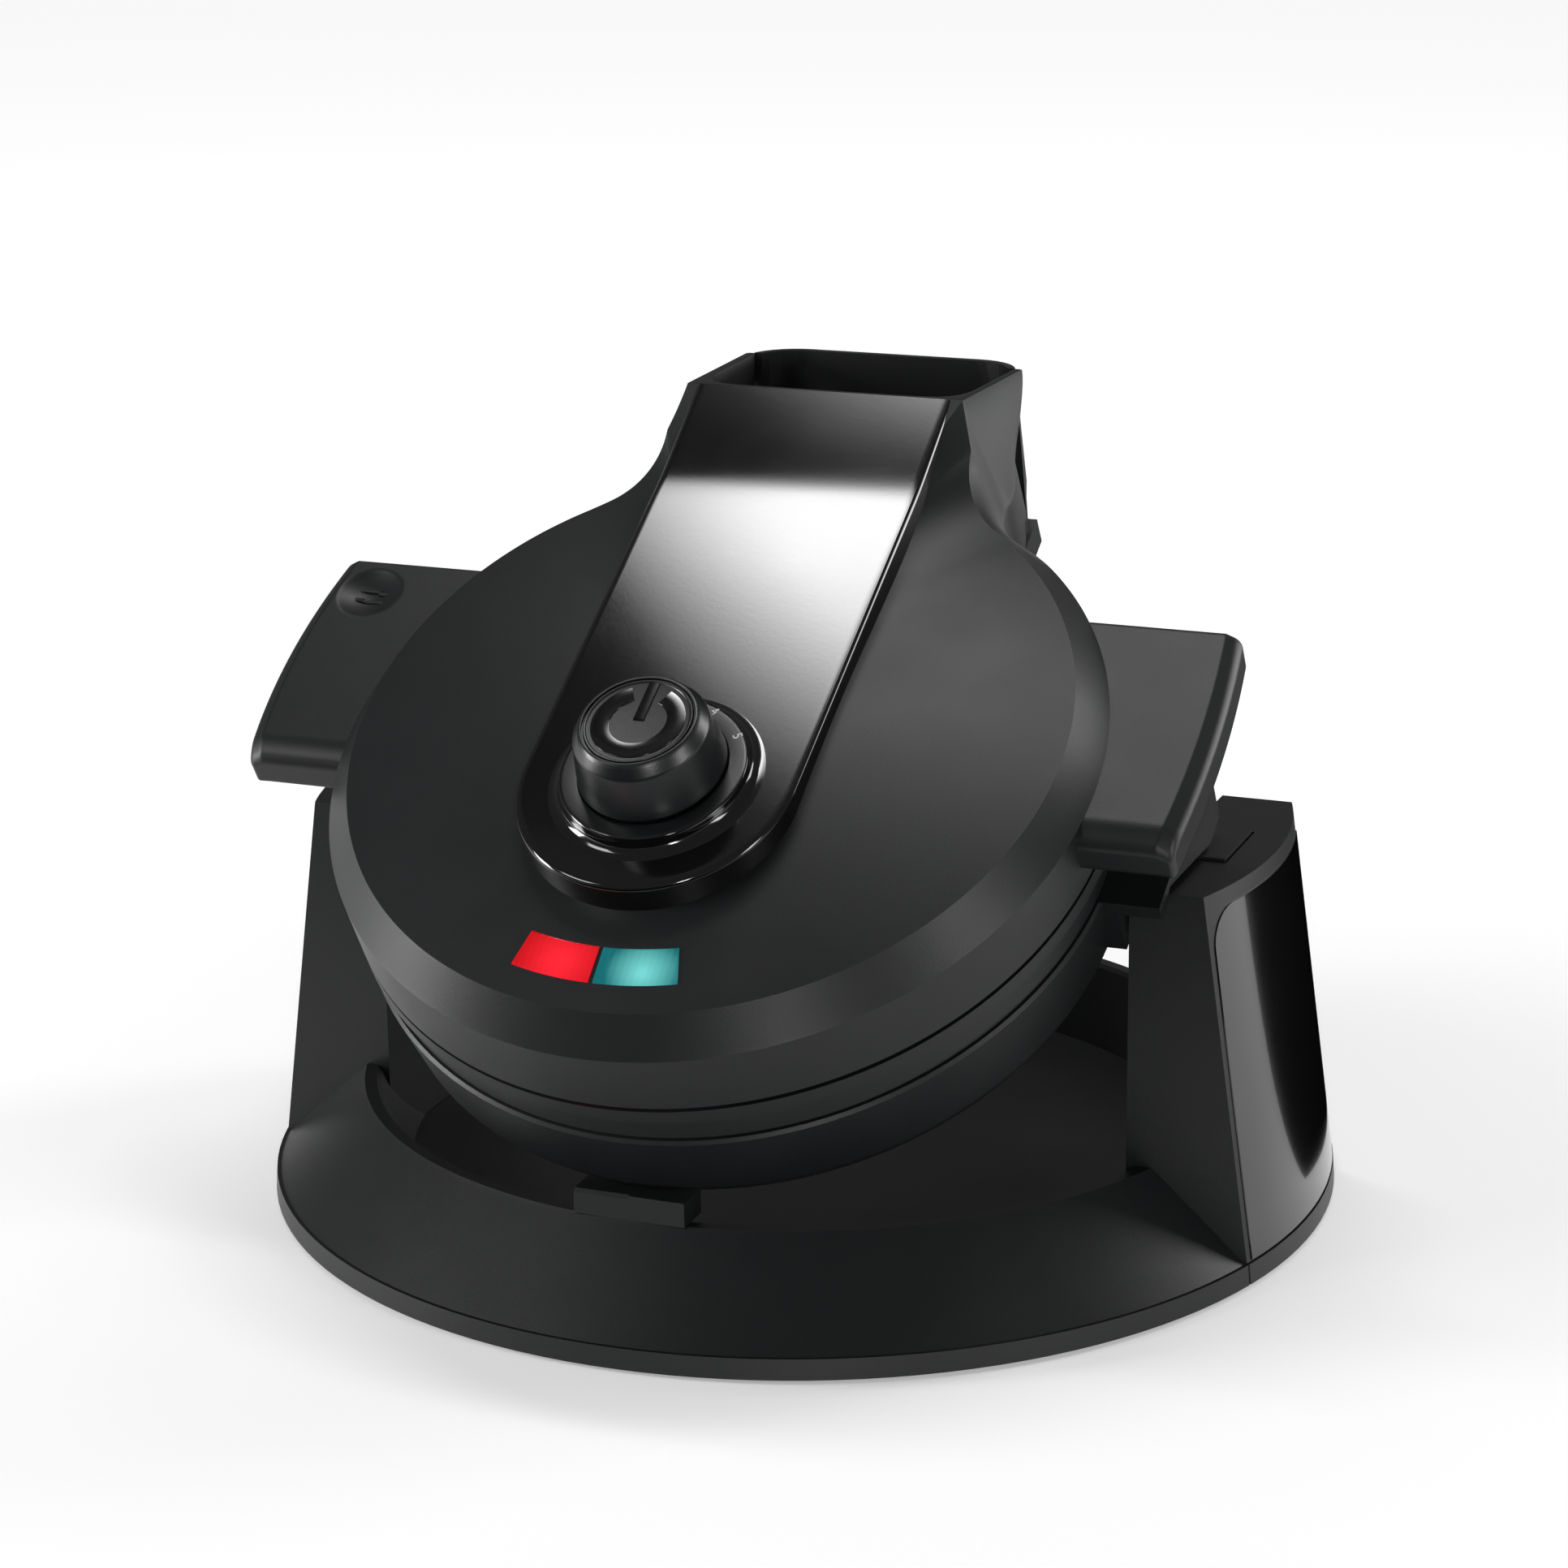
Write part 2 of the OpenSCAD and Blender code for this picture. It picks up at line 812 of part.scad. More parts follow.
module neck_inner() {
    hull() {
        at_rim()
            translate([0, spout_depth / 2, 0])
                linear_extrude(height = 2)
                    rounded_rect(spout_w - 2 * spout_wall, spout_depth - 2 * spout_wall,
                        14 - spout_wall);
        slab(bulkhead_r + 5, neck_turn_v - 1, neck_half - 2 - wall, lid_bottom - 1, 1);
        slab(bulkhead_r + 5, neck_back - 4, neck_back_half - wall, lid_bottom - 1, 1);
        slab(bulkhead_r + 5, neck_back - 4, neck_back_half - 2 - wall, -12, 1);
    }
}

// Everything behind the seam that runs down the neck's sides
module behind_seam(grow) {
    seam_top = [spout_v + seam_s * rim_dir[0], spout_top + seam_s * rim_dir[1]];
    side_extrude(200)
        polygon([
            [seam_bottom_v - grow, lid_bottom - 2], [seam_bottom_v - grow, lid_bottom],
            [seam_top[0] - grow, seam_top[1]], [seam_top[0] + 6 - grow, seam_top[1] + 10],
            [220, seam_top[1] + 10], [220, lid_bottom - 2]
        ]);
}

module lid_core() {
    rotate_extrude()
        lid_profile();
    difference() {
        union() {
            neck_outer();
            translate([0, 0, lid_bottom])
                linear_extrude(height = -bevel_h - 2 - lid_bottom)
                    neck_plan(lid_r - 0.5, neck_half - 2, neck_fillet, neck_back - 24);
        }
        translate([0, 0, -100])
            cylinder(r = bulkhead_r, h = 100 - bevel_h - 4);
        translate([0, 0, -bevel_h - 4.1])
            cylinder(r1 = bulkhead_r, r2 = 60, h = bevel_h + 4);
    }
}

module lid_shell() {
    color(sat_black)
        in_body()
            difference() {
                lid_core();
                neck_inner();
                behind_seam(gap);
                translate([0, donut_ring_r, upper_face])
                    rotate([-90, 0, 0])
                        cylinder(r = feed_r + 0.4, h = 60);
                translate([0, -dial_v, 0])
                    cylinder(r = shaft_r + 2.2, h = 40);
                lens_cut(0.15);
                handle_screw_holes(handle_screw_r);
            }
}

module lens_cut(grow) {
    translate([0, 0, -4])
        rotate([0, 0, -90 - lens_angle - 0.2])
            rotate_extrude(angle = 2 * lens_angle + 0.4)
                translate([lens_r0 - grow, 0])
                    square([lens_r1 - lens_r0 + 2 * grow, 30]);
}

module spout_back() {
    color(sat_black)
        in_body()
            difference() {
                union() {
                    intersection() {
                        difference() {
                            neck_outer();
                            neck_inner();
                        }
                        behind_seam(0);
                    }
                    difference() {
                        translate([0, hinge_v, -hinge_d])
                            x_cylinder(barrel_r, -hinge_half, hinge_half);
                        translate([-50, 0, -100])
                            cube([100, neck_back - 1, 100]);
                    }
                    translate([-hinge_half, neck_back - 1, lid_bottom])
                        cube([2 * hinge_half, barrel_r + 2, 5]);
                }
                translate([0, hinge_v, -hinge_d])
                    x_cylinder(hinge_pin_r + pin_clear, -40, 40);
                both_sides()
                    translate([0, hinge_v, -hinge_d])
                        x_cylinder(barrel_r + 0.6, hinge_half, hinge_half + lug_w + 0.9);
            }
}

// Lines the foot of the spout and leads the batter to the plates' feed channel
module spout_funnel() {
    v0 = bulkhead_r + 5.4;
    v1 = neck_back - 4.4;
    color(gloss_black)
        in_body()
            difference() {
                slab(v0, v1, neck_back_half - wall - 2.6, lid_bottom + 0.4, 15);
                translate([0, (v0 + v1) / 2, lid_bottom])
                    cylinder(r1 = feed_r, r2 = 17, h = 15.5);
                translate([0, (v0 + v1) / 2, lid_bottom - 1])
                    cylinder(r = feed_r, h = 3);
            }
}

// The stepped band that closes the lid's wall down to the parting plane
module seam_band() {
    color(sat_black)
        in_body()
            difference() {
                rotate_extrude()
                    polygon([
                        [lid_r - recess_in - 0.75, -groove_d - 1.4],
                        [lid_r - 0.1, -groove_d - 1.4], [lid_r - 0.1, -recess_d],
                        [lid_r - recess_in, -recess_d], [lid_r - recess_in, lid_bottom],
                        [lid_r - recess_in - 0.75, lid_bottom]
                    ]);
                translate([-neck_half + 0.5, 0, -60])
                    cube([2 * neck_half - 1, 200, 60]);
                translate([0, 0, -60])
                    linear_extrude(height = 60)
                        neck_plan(lid_r - 0.4, neck_half - 1.9, neck_fillet + 0.3,
                            neck_back - 24);
                handle_screw_holes(handle_screw_r + 1);
            }
}

strip_front = -dial_v - strip_half;
strip_bend = 70;

module control_strip() {
    color(gloss_black)
        in_body()
            difference() {
                intersection() {
                    side_extrude(2 * strip_half)
                        polygon([
                            [strip_front - 1, -1], [strip_front - 1, strip_top_w],
                            [strip_bend, strip_top_w], [spout_v - 0.4, spout_top + 0.3],
                            [spout_v + 0.2, spout_top - 0.4], [spout_v, spout_top - 2],
                            [strip_bend, -1]
                        ]);
                    translate([0, 0, -10])
                        linear_extrude(height = 50) {
                            translate([0, -dial_v])
                                circle(r = strip_half);
                            translate([-strip_half, -dial_v])
                                square([2 * strip_half, 200]);
                        }
                }
                translate([0, 0, -60])
                    rotate_extrude()
                        strip_seat();
                neck_outer();
                translate([0, -dial_v, -10])
                    cylinder(r = 14, h = 60);
            }
}

module strip_seat() {
    polygon(concat([[0, 0]], [[face_r, 60]], [for (i = [dome_steps : -1 : 0])
        let (r = face_r * i / dome_steps) [r, 60 + dome(r)]]));
}

module handle_solid() {
    difference() {
        intersection() {
            front_extrude(handle_front, handle_back)
                polygon([
                    [lid_r - 24, handle_top_w], [handle_u - 3.5, handle_top_w],
                    [handle_u, handle_top_w - handle_chamfer],
                    [handle_u, handle_top_w - handle_t + 3],
                    [handle_u - 3, handle_top_w - handle_t], [lid_r - 24, handle_top_w - handle_t]
                ]);
            translate([handle_u - 30, 0, 0])
                side_extrude(80)
                    polygon([
                        [handle_front, handle_top_w - handle_t + 2],
                        [handle_front, handle_top_w - handle_round],
                        [handle_front + 1.6, handle_top_w - 1.6],
                        [handle_front + handle_round + 1, handle_top_w],
                        [handle_back - 2, handle_top_w], [handle_back, handle_top_w - 2],
                        [handle_back, handle_top_w - handle_t + 2],
                        [handle_back - 2, handle_top_w - handle_t],
                        [handle_front + 2, handle_top_w - handle_t]
                    ]);
        }
        translate([0, 0, -60])
            cylinder(r = lid_r, h = 120);
        translate([0, 0, -60])
            linear_extrude(height = 120)
                neck_plan(lid_r - 0.4, neck_half - 2, neck_fillet, neck_back);
        translate([handle_u - 13, handle_back - 13, handle_top_w + 26])
            sphere(r = 27.6);
        handle_screw_holes(handle_screw_r);
    }
}

module handle_screw_holes(r) {
    both_sides()
        for (v = handle_screw_v)
            translate([0, v, handle_screw_w])
                x_cylinder(r, bulkhead_r - 8, lid_r + 12);
}

module left_handle() {
    color(sat_black)
        in_body()
            mirror([1, 0, 0])
                handle_solid();
}

module right_handle() {
    color(sat_black)
        in_body()
            handle_solid();
}

module handle_screws() {
    color(steel_grey)
        in_body()
            both_sides()
                for (v = handle_screw_v)
                    translate([0, v, handle_screw_w]) {
                        u0 = sqrt(bulkhead_r * bulkhead_r - v * v) - 1.6;
                        x_cylinder(handle_screw_r, u0 - 1, lid_r + 9);
                        x_cylinder(3, u0 - 2, u0);
                    }
}

module upper_plate() {
    color([0.16, 0.16, 0.17])
        in_body()
            difference() {
                translate([0, 0, upper_face])
                    cylinder(r = plate_r, h = plate_t);
                donut_cuts(upper_face - 0.08);
                for (p = plate_screw_pos)
                    translate([p[0], p[1], upper_face + plate_t - 6])
                        cylinder(r = plate_screw_r, h = 7);
            }
}

module upper_heating_element() {
    color([0.45, 0.43, 0.42])
        in_body()
            element(upper_face + plate_t + element_sec + 0.1);
}

shield_w = upper_face + plate_t + 2 * element_sec + 2;

module upper_heat_shield() {
    color(steel_grey)
        in_body()
            shield(shield_w);
}

module upper_plate_screws() {
    color(steel_grey)
        in_body()
            plate_screws(shield_w + 1.2, -1);
}

thermostat_w0 = shield_w + 3;
thermostat_h = 14;

module thermostat() {
    color([0.75, 0.7, 0.6])
        in_body() {
            translate([-11, -dial_v - 11, thermostat_w0])
                cube([22, 22, thermostat_h]);
            translate([0, -dial_v, thermostat_w0])
                cylinder(r = 7, h = thermostat_h + 2);
            translate([0, -dial_v, thermostat_w0])
                cylinder(r = shaft_r + 1.6, h = strip_top_w - thermostat_w0);
        }
}

module thermostat_bracket() {
    color(steel_grey)
        in_body()
            difference() {
                union() {
                    translate([-24, -dial_v - 8, shield_w + 0.8])
                        cube([48, 16, 1]);
                    for (x = [-24, 23])
                        translate([x, -dial_v - 8, shield_w + 0.8])
                            cube([1, 16, 12]);
                }
                translate([0, -dial_v, shield_w])
                    cylinder(r = 5, h = 4);
                for (p = plate_screw_pos)
                    translate([p[0], p[1], shield_w])
                        cylinder(r = 4.4, h = 20);
            }
}

module dial_collar() {
    color(gloss_black)
        in_body()
            translate([0, -dial_v, 0])
                rotate_extrude()
                    polygon([
                        [12.6, strip_top_w - 2.5], [12.6, collar_top_w - 1],
                        [knob_r + 1, collar_top_w - 1], [knob_r + 1, collar_top_w],
                        [collar_r, collar_top_w], [collar_r + 0.8, collar_top_w - 0.5],
                        [collar_r + 1.6, collar_top_w - 1.6],
                        [collar_r + 3.2, strip_top_w + 0.6],
                        [collar_r + 4.8, strip_top_w + 0.1],
                        [collar_r + 4.8, strip_top_w + 0.01], [13.8, strip_top_w + 0.01],
                        [13.8, strip_top_w - 2.5]
                    ]);
}

module lens(side) {
    start = side < 0 ? -90 - lens_angle : -90 + lens_gap;
    in_body()
        rotate([0, 0, start])
            rotate_extrude(angle = lens_angle - lens_gap)
                polygon([
                    [lens_r0, dome(lens_r0) - 3], [lens_r1, dome(lens_r1) - 3],
                    [lens_r1, dome(lens_r1) + 0.1], [lens_r1 - 0.4, dome(lens_r1 - 0.4) + 0.35],
                    [lens_r0 + 0.4, dome(lens_r0 + 0.4) + 0.35], [lens_r0, dome(lens_r0) + 0.1]
                ]);
}

module red_lens() {
    color([0.85, 0.05, 0.06])
        lens(-1);
}

module green_lens() {
    color([0.05, 0.6, 0.55])
        lens(1);
}

module lamp_holder() {
    color([0.8, 0.8, 0.75])
        in_body()
            for (a = [-7.5, 7.5])
                rotate([0, 0, a])
                    translate([0, -76, -7.4])
                        difference() {
                            translate([-6, -3, 0])
                                cube([12, 6, 6.5]);
                            translate([0, 0, 2])
                                cylinder(r = 2, h = 6);
                        }
}

module knob() {
    color(sat_black)
        in_body()
            translate([0, -dial_v, 0])
                    rotate_extrude()
                        polygon([
                            [shaft_r, strip_top_w + 0.4], [shaft_r + 5, strip_top_w + 0.4],
                            [shaft_r + 5, knob_base_w], [knob_r, knob_base_w],
                            [knob_r + 0.3, knob_base_w + 0.6],
                            [knob_r, knob_base_w + knob_h - 3],
                            [knob_r - 2, knob_base_w + knob_h],
                            [knob_r - 3.2, knob_base_w + knob_h],
                            [knob_r - 3.2, knob_base_w + knob_h - 1.6],
                            [shaft_r, knob_base_w + knob_h - 1.6]
                        ]);
}

module knob_cap() {
    color(gloss_black)
        in_body()
            translate([0, -dial_v, knob_base_w + knob_h - 1.6])
                difference() {
                    cylinder(r = knob_r - 3.4, h = 1.7);
                    translate([-0.9, 3, 1.1])
                        cube([1.8, knob_r - 7, 2]);
                }
}

module knob_clip() {
    color(steel_grey)
        in_body()
            translate([0, -dial_v, strip_top_w + 0.4])
                cylinder(r = shaft_r, h = knob_base_w + knob_h - 1.6 - strip_top_w - 0.4);
}

base_shell();
base_bottom_plate();
rubber_feet();
base_screws();
tilt_rest();
left_pillar();
right_pillar();
left_pillar_panel();
right_pillar_panel();
left_pillar_cap();
right_pillar_cap();
left_bearing_block();
right_bearing_block();
left_pivot_pin();
right_pivot_pin();
lower_shell();
lower_plate();
lower_heating_element();
lower_heat_shield();
lower_plate_screws();
hinge_pin();
cord_gland();
lid_shell();
spout_back();
seam_band();
control_strip();
left_handle();
right_handle();
handle_screws();
upper_plate();
upper_heating_element();
upper_heat_shield();
upper_plate_screws();
thermostat();
thermostat_bracket();
spout_funnel();
dial_collar();
red_lens();
green_lens();
lamp_holder();
knob();
knob_cap();
knob_clip();
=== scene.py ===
"""Looks of a tilting mini doughnut maker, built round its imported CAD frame."""

from __future__ import annotations

import json
import logging
import math
from dataclasses import dataclass, field
from enum import Enum
from typing import Any, Sequence

import bmesh  # noqa: E402
import bpy  # noqa: E402
import numpy as np  # noqa: E402
from mathutils import Matrix, Vector  # noqa: E402

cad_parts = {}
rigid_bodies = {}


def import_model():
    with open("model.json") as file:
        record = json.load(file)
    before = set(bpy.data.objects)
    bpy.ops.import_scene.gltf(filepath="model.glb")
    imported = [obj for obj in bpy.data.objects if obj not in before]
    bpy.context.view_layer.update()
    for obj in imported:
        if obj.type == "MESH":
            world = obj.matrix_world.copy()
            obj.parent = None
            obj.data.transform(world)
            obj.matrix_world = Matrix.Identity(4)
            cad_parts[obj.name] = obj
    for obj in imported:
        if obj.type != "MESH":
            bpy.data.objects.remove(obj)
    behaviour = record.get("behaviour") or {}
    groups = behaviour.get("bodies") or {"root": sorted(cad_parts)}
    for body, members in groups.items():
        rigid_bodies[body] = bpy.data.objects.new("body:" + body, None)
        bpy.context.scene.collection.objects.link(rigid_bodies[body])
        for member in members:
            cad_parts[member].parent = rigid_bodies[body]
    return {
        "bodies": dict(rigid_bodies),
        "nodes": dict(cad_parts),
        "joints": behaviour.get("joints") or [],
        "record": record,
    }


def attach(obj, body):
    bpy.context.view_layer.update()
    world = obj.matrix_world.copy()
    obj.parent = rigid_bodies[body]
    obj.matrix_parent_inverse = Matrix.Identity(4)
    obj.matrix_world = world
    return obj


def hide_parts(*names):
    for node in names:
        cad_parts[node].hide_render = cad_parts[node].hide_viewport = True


log = logging.getLogger("doughnut_maker")
MM = 0.001
WELD_GAP = 0.02
SHORTEST_EDGE = 0.005
GRAIN_DEPTH = 0.00012


class Body(Enum):
    """The rigid bodies that pieces ride on."""

    STAND = "stand"
    LOWER = "lower_body"
    LID = "lid"
    KNOB = "knob"


class Slot(Enum):
    """The record's material slots."""

    SATIN = "satin_black"
    GLOSS = "gloss_black"
    RUBBER = "foot_rubber"
    STEEL = "steel"
    PLATE = "cast_plate"
    CREAM = "thermostat_white"
    RED = "red_lamp"
    GREEN = "green_lamp"


# ---------------------------------------- shader graphs


class Wire:
    """One shader value; arithmetic on it adds Math nodes."""

    def __init__(self, graph: "Graph", socket: Any) -> None:
        """Keeps the graph and the output socket."""
        self.graph = graph
        self.socket = socket

    def _math(self, operation: str, first: Any, second: Any = 0.0) -> "Wire":
        """Adds one Math node and returns its result."""
        return self.graph.make(
            "ShaderNodeMath", {"operation": operation}, {0: first, 1: second}
        )

    def __add__(self, other: Any) -> "Wire":
        """Sum."""
        return self._math("ADD", self, other)

    def __radd__(self, other: Any) -> "Wire":
        """Sum with the number first."""
        return self._math("ADD", other, self)

    def __sub__(self, other: Any) -> "Wire":
        """Difference."""
        return self._math("SUBTRACT", self, other)

    def __rsub__(self, other: Any) -> "Wire":
        """Difference with the number first."""
        return self._math("SUBTRACT", other, self)

    def __mul__(self, other: Any) -> "Wire":
        """Product."""
        return self._math("MULTIPLY", self, other)

    def __rmul__(self, other: Any) -> "Wire":
        """Product with the number first."""
        return self._math("MULTIPLY", other, self)

    def clamped(self) -> "Wire":
        """Held between nought and one."""
        return self.graph.make("ShaderNodeClamp", {}, {"Value": self})


class Graph:
    """The node tree of one material."""

    def __init__(self, name: str) -> None:
        """Starts an empty material with a Principled shader and an output."""
        self.material = bpy.data.materials.new(name)
        self.material.use_nodes = True
        self.tree = self.material.node_tree
        self.tree.nodes.clear()
        self.output = self.tree.nodes.new("ShaderNodeOutputMaterial")
        self.shader = self.tree.nodes.new("ShaderNodeBsdfPrincipled")
        self.tree.links.new(self.shader.outputs[0], self.output.inputs["Surface"])

    def make(
        self, kind: str, settings: dict[str, Any], inputs: dict[Any, Any], out: Any = 0
    ) -> Wire:
        """Adds a node.

        Args:
            kind: The node's type.
            settings: Its properties.
            inputs: Values or wires, by socket name or index.
            out: Which output to return.

        Returns:
            The chosen output.
        """
        node = self.tree.nodes.new(kind)
        for key, value in settings.items():
            setattr(node, key, value)
        for key, value in inputs.items():
            self.plug(node.inputs[key], value)
        return Wire(self, node.outputs[out])

    def plug(self, socket: Any, value: Any) -> None:
        """Links a wire to a socket, or sets the socket's own value."""
        if isinstance(value, Wire):
            self.tree.links.new(value.socket, socket)
        else:
            socket.default_value = value

    def place(self) -> Wire:
        """Object coordinates."""
        return self.make("ShaderNodeTexCoord", {}, {}, "Object")

    def noise(self, scale: float, detail: float = 2.0, rough: float = 0.5) -> Wire:
        """Noise in object space.

        Args:
            scale: Cells to a metre.
            detail: Octaves.
            rough: Weight of the finer octaves.

        Returns:
            The noise value.
        """
        return self.make(
            "ShaderNodeTexNoise",
            {},
            {"Vector": self.place(), "Scale": scale, "Detail": detail, "Roughness": rough},
        )

    def voronoi(self, scale: float) -> Wire:
        """Distance to the nearest cell point in object space."""
        return self.make(
            "ShaderNodeTexVoronoi", {}, {"Vector": self.place(), "Scale": scale}
        )

    def mix(self, mask: Any, dark: Sequence[float], light: Sequence[float]) -> Wire:
        """A colour between two, by a mask."""
        return self.make(
            "ShaderNodeMix",
            {"data_type": "RGBA"},
            {0: mask, 6: (*dark, 1.0), 7: (*light, 1.0)},
            2,
        )

    def bump(self, height: Wire, strength: float, distance: float) -> None:
        """Feeds the shader's normal from a height."""
        normal = self.make(
            "ShaderNodeBump",
            {},
            {"Strength": strength, "Distance": distance, "Height": height},
        )
        self.plug(self.shader.inputs["Normal"], normal)

    def feed(self, **values: Any) -> None:
        """Sets or links the shader's own sockets; underscores stand for spaces."""
        for key, value in values.items():
            if isinstance(value, tuple) and len(value) == 3:
                value = (*value, 1.0)
            self.plug(self.shader.inputs[key.replace("_", " ")], value)


@dataclass
class BodyFrame:
    """The tilted body's own frame, in millimetres: u across, v to the spout, w up from the lid."""

    tilt_deg: float = 31.4
    pivot_z: float = 97.0
    pivot_v: float = 32.2
    pivot_d: float = 67.9

    def world(self, points: np.ndarray) -> np.ndarray:
        """Turns body points into row-frame points in metres.

        Args:
            points: Body points, n by 3, in millimetres.

        Returns:
            The points turned by the tilt about the pivot.
        """
        t = math.radians(self.tilt_deg)
        v = points[:, 1] - self.pivot_v
        w = points[:, 2] + self.pivot_d
        y = math.cos(t) * v - math.sin(t) * w
        z = math.sin(t) * v + math.cos(t) * w + self.pivot_z
        return np.stack([points[:, 0], y, z], 1) * MM

    def point(self, u: float, v: float, w: float) -> tuple[float, float, float]:
        """One body point in the row frame, in metres."""
        return tuple(float(x) for x in self.world(np.array([[u, v, w]]))[0])


@dataclass(frozen=True)
class MouldedPlastic:
    """Black moulded plastic, from grained satin to polished."""

    name: str
    dark: tuple[float, float, float]
    light: tuple[float, float, float]
    rough: float
    rough_swing: float
    grain_scale: float
    grain: float
    coat: float = 0.0
    specular: float = 0.5

    def build(self) -> Any:
        """Makes the material.

        Returns:
            The Blender material.
        """
        graph = Graph(self.name)
        cloud = graph.noise(24.0, 3.0, 0.55)
        fine = graph.noise(self.grain_scale, 2.0, 0.6)
        handled = graph.noise(70.0, 4.0, 0.65)
        specks = (graph.noise(420.0, 1.0) - 0.6).clamped() * 2.0
        colour = graph.mix((cloud * 0.7 + specks * 0.5).clamped(), self.dark, self.light)
        rough = (cloud - 0.5) * self.rough_swing + (handled - 0.5) * self.rough_swing
        graph.feed(
            Base_Color=colour,
            Roughness=(rough + self.rough + (fine - 0.5) * 0.04).clamped(),
            Coat_Weight=self.coat,
            Coat_Roughness=0.04,
            Specular_IOR_Level=self.specular,
        )
        graph.bump(fine + cloud * 0.15, self.grain, GRAIN_DEPTH)
        return graph.material


@dataclass(frozen=True)
class Metal:
    """Plain or coated metal."""

    name: str
    dark: tuple[float, float, float]
    light: tuple[float, float, float]
    metallic: float
    rough: float
    scratch_scale: float
    cast: float

    def build(self) -> Any:
        """Makes the material.

        Returns:
            The Blender material.
        """
        graph = Graph(self.name)
        place = graph.place()
        drawn = graph.make(
            "ShaderNodeMapping", {}, {"Vector": place, "Scale": (0.12, 1.0, 1.0)}
        )
        streak = graph.make(
            "ShaderNodeTexNoise",
            {},
            {"Vector": drawn, "Scale": self.scratch_scale, "Detail": 4.0},
        )
        cloud = graph.noise(60.0, 3.0)
        pits = graph.voronoi(700.0)
        graph.feed(
            Base_Color=graph.mix((streak * 0.6 + cloud * 0.4).clamped(), self.dark, self.light),
            Metallic=self.metallic,
            Roughness=(streak * 0.18 + cloud * 0.12 + self.rough - 0.15).clamped(),
        )
        graph.bump(streak * (1.0 - self.cast) + pits * self.cast, 0.25, 0.0001)
        return graph.material


@dataclass(frozen=True)
class LitLens:
    """A coloured window with a lamp behind it."""

    name: str
    colour: tuple[float, float, float]
    hot: tuple[float, float, float]
    glow: float
    lamp_at: tuple[float, float, float]
    reach: float

    def build(self) -> Any:
        """Makes the material: brighter where the lamp stands, ribbed like a diffuser.

        Returns:
            The Blender material.
        """
        graph = Graph(self.name)
        cloud = graph.noise(90.0, 1.0)
        ribs = graph.make(
            "ShaderNodeTexWave",
            {"bands_direction": "X"},
            {"Vector": graph.place(), "Scale": 190.0, "Distortion": 0.0},
        )
        away = graph.make(
            "ShaderNodeVectorMath", {"operation": "DISTANCE"},
            {0: graph.place(), 1: self.lamp_at}, "Value",
        )
        near = (1.0 - away * (1.0 / self.reach)).clamped()
        lit = (near * 1.1 + cloud * 0.16 + ribs * 0.03 - 0.12).clamped()
        colour = graph.mix(lit, self.colour, self.hot)
        graph.feed(
            Base_Color=graph.mix(lit, self.colour, self.colour),
            Emission_Color=colour,
            Emission_Strength=self.glow,
            Roughness=(ribs * 0.08 + 0.1).clamped(),
            Coat_Weight=0.6,
        )
        graph.bump(ribs, 0.15, 0.0002)
        return graph.material


@dataclass(frozen=True)
class PlainCoat:
    """A pale or rubbery finish with a light mottle."""

    name: str
    dark: tuple[float, float, float]
    light: tuple[float, float, float]
    rough: float
    grain_scale: float

    def build(self) -> Any:
        """Makes the material.

        Returns:
            The Blender material.
        """
        graph = Graph(self.name)
        cloud = graph.noise(45.0, 3.0)
        fine = graph.noise(self.grain_scale, 2.0)
        graph.feed(
            Base_Color=graph.mix(cloud, self.dark, self.light),
            Roughness=(fine * 0.2 + self.rough - 0.1).clamped(),
        )
        graph.bump(fine, 0.3, 0.00015)
        return graph.material


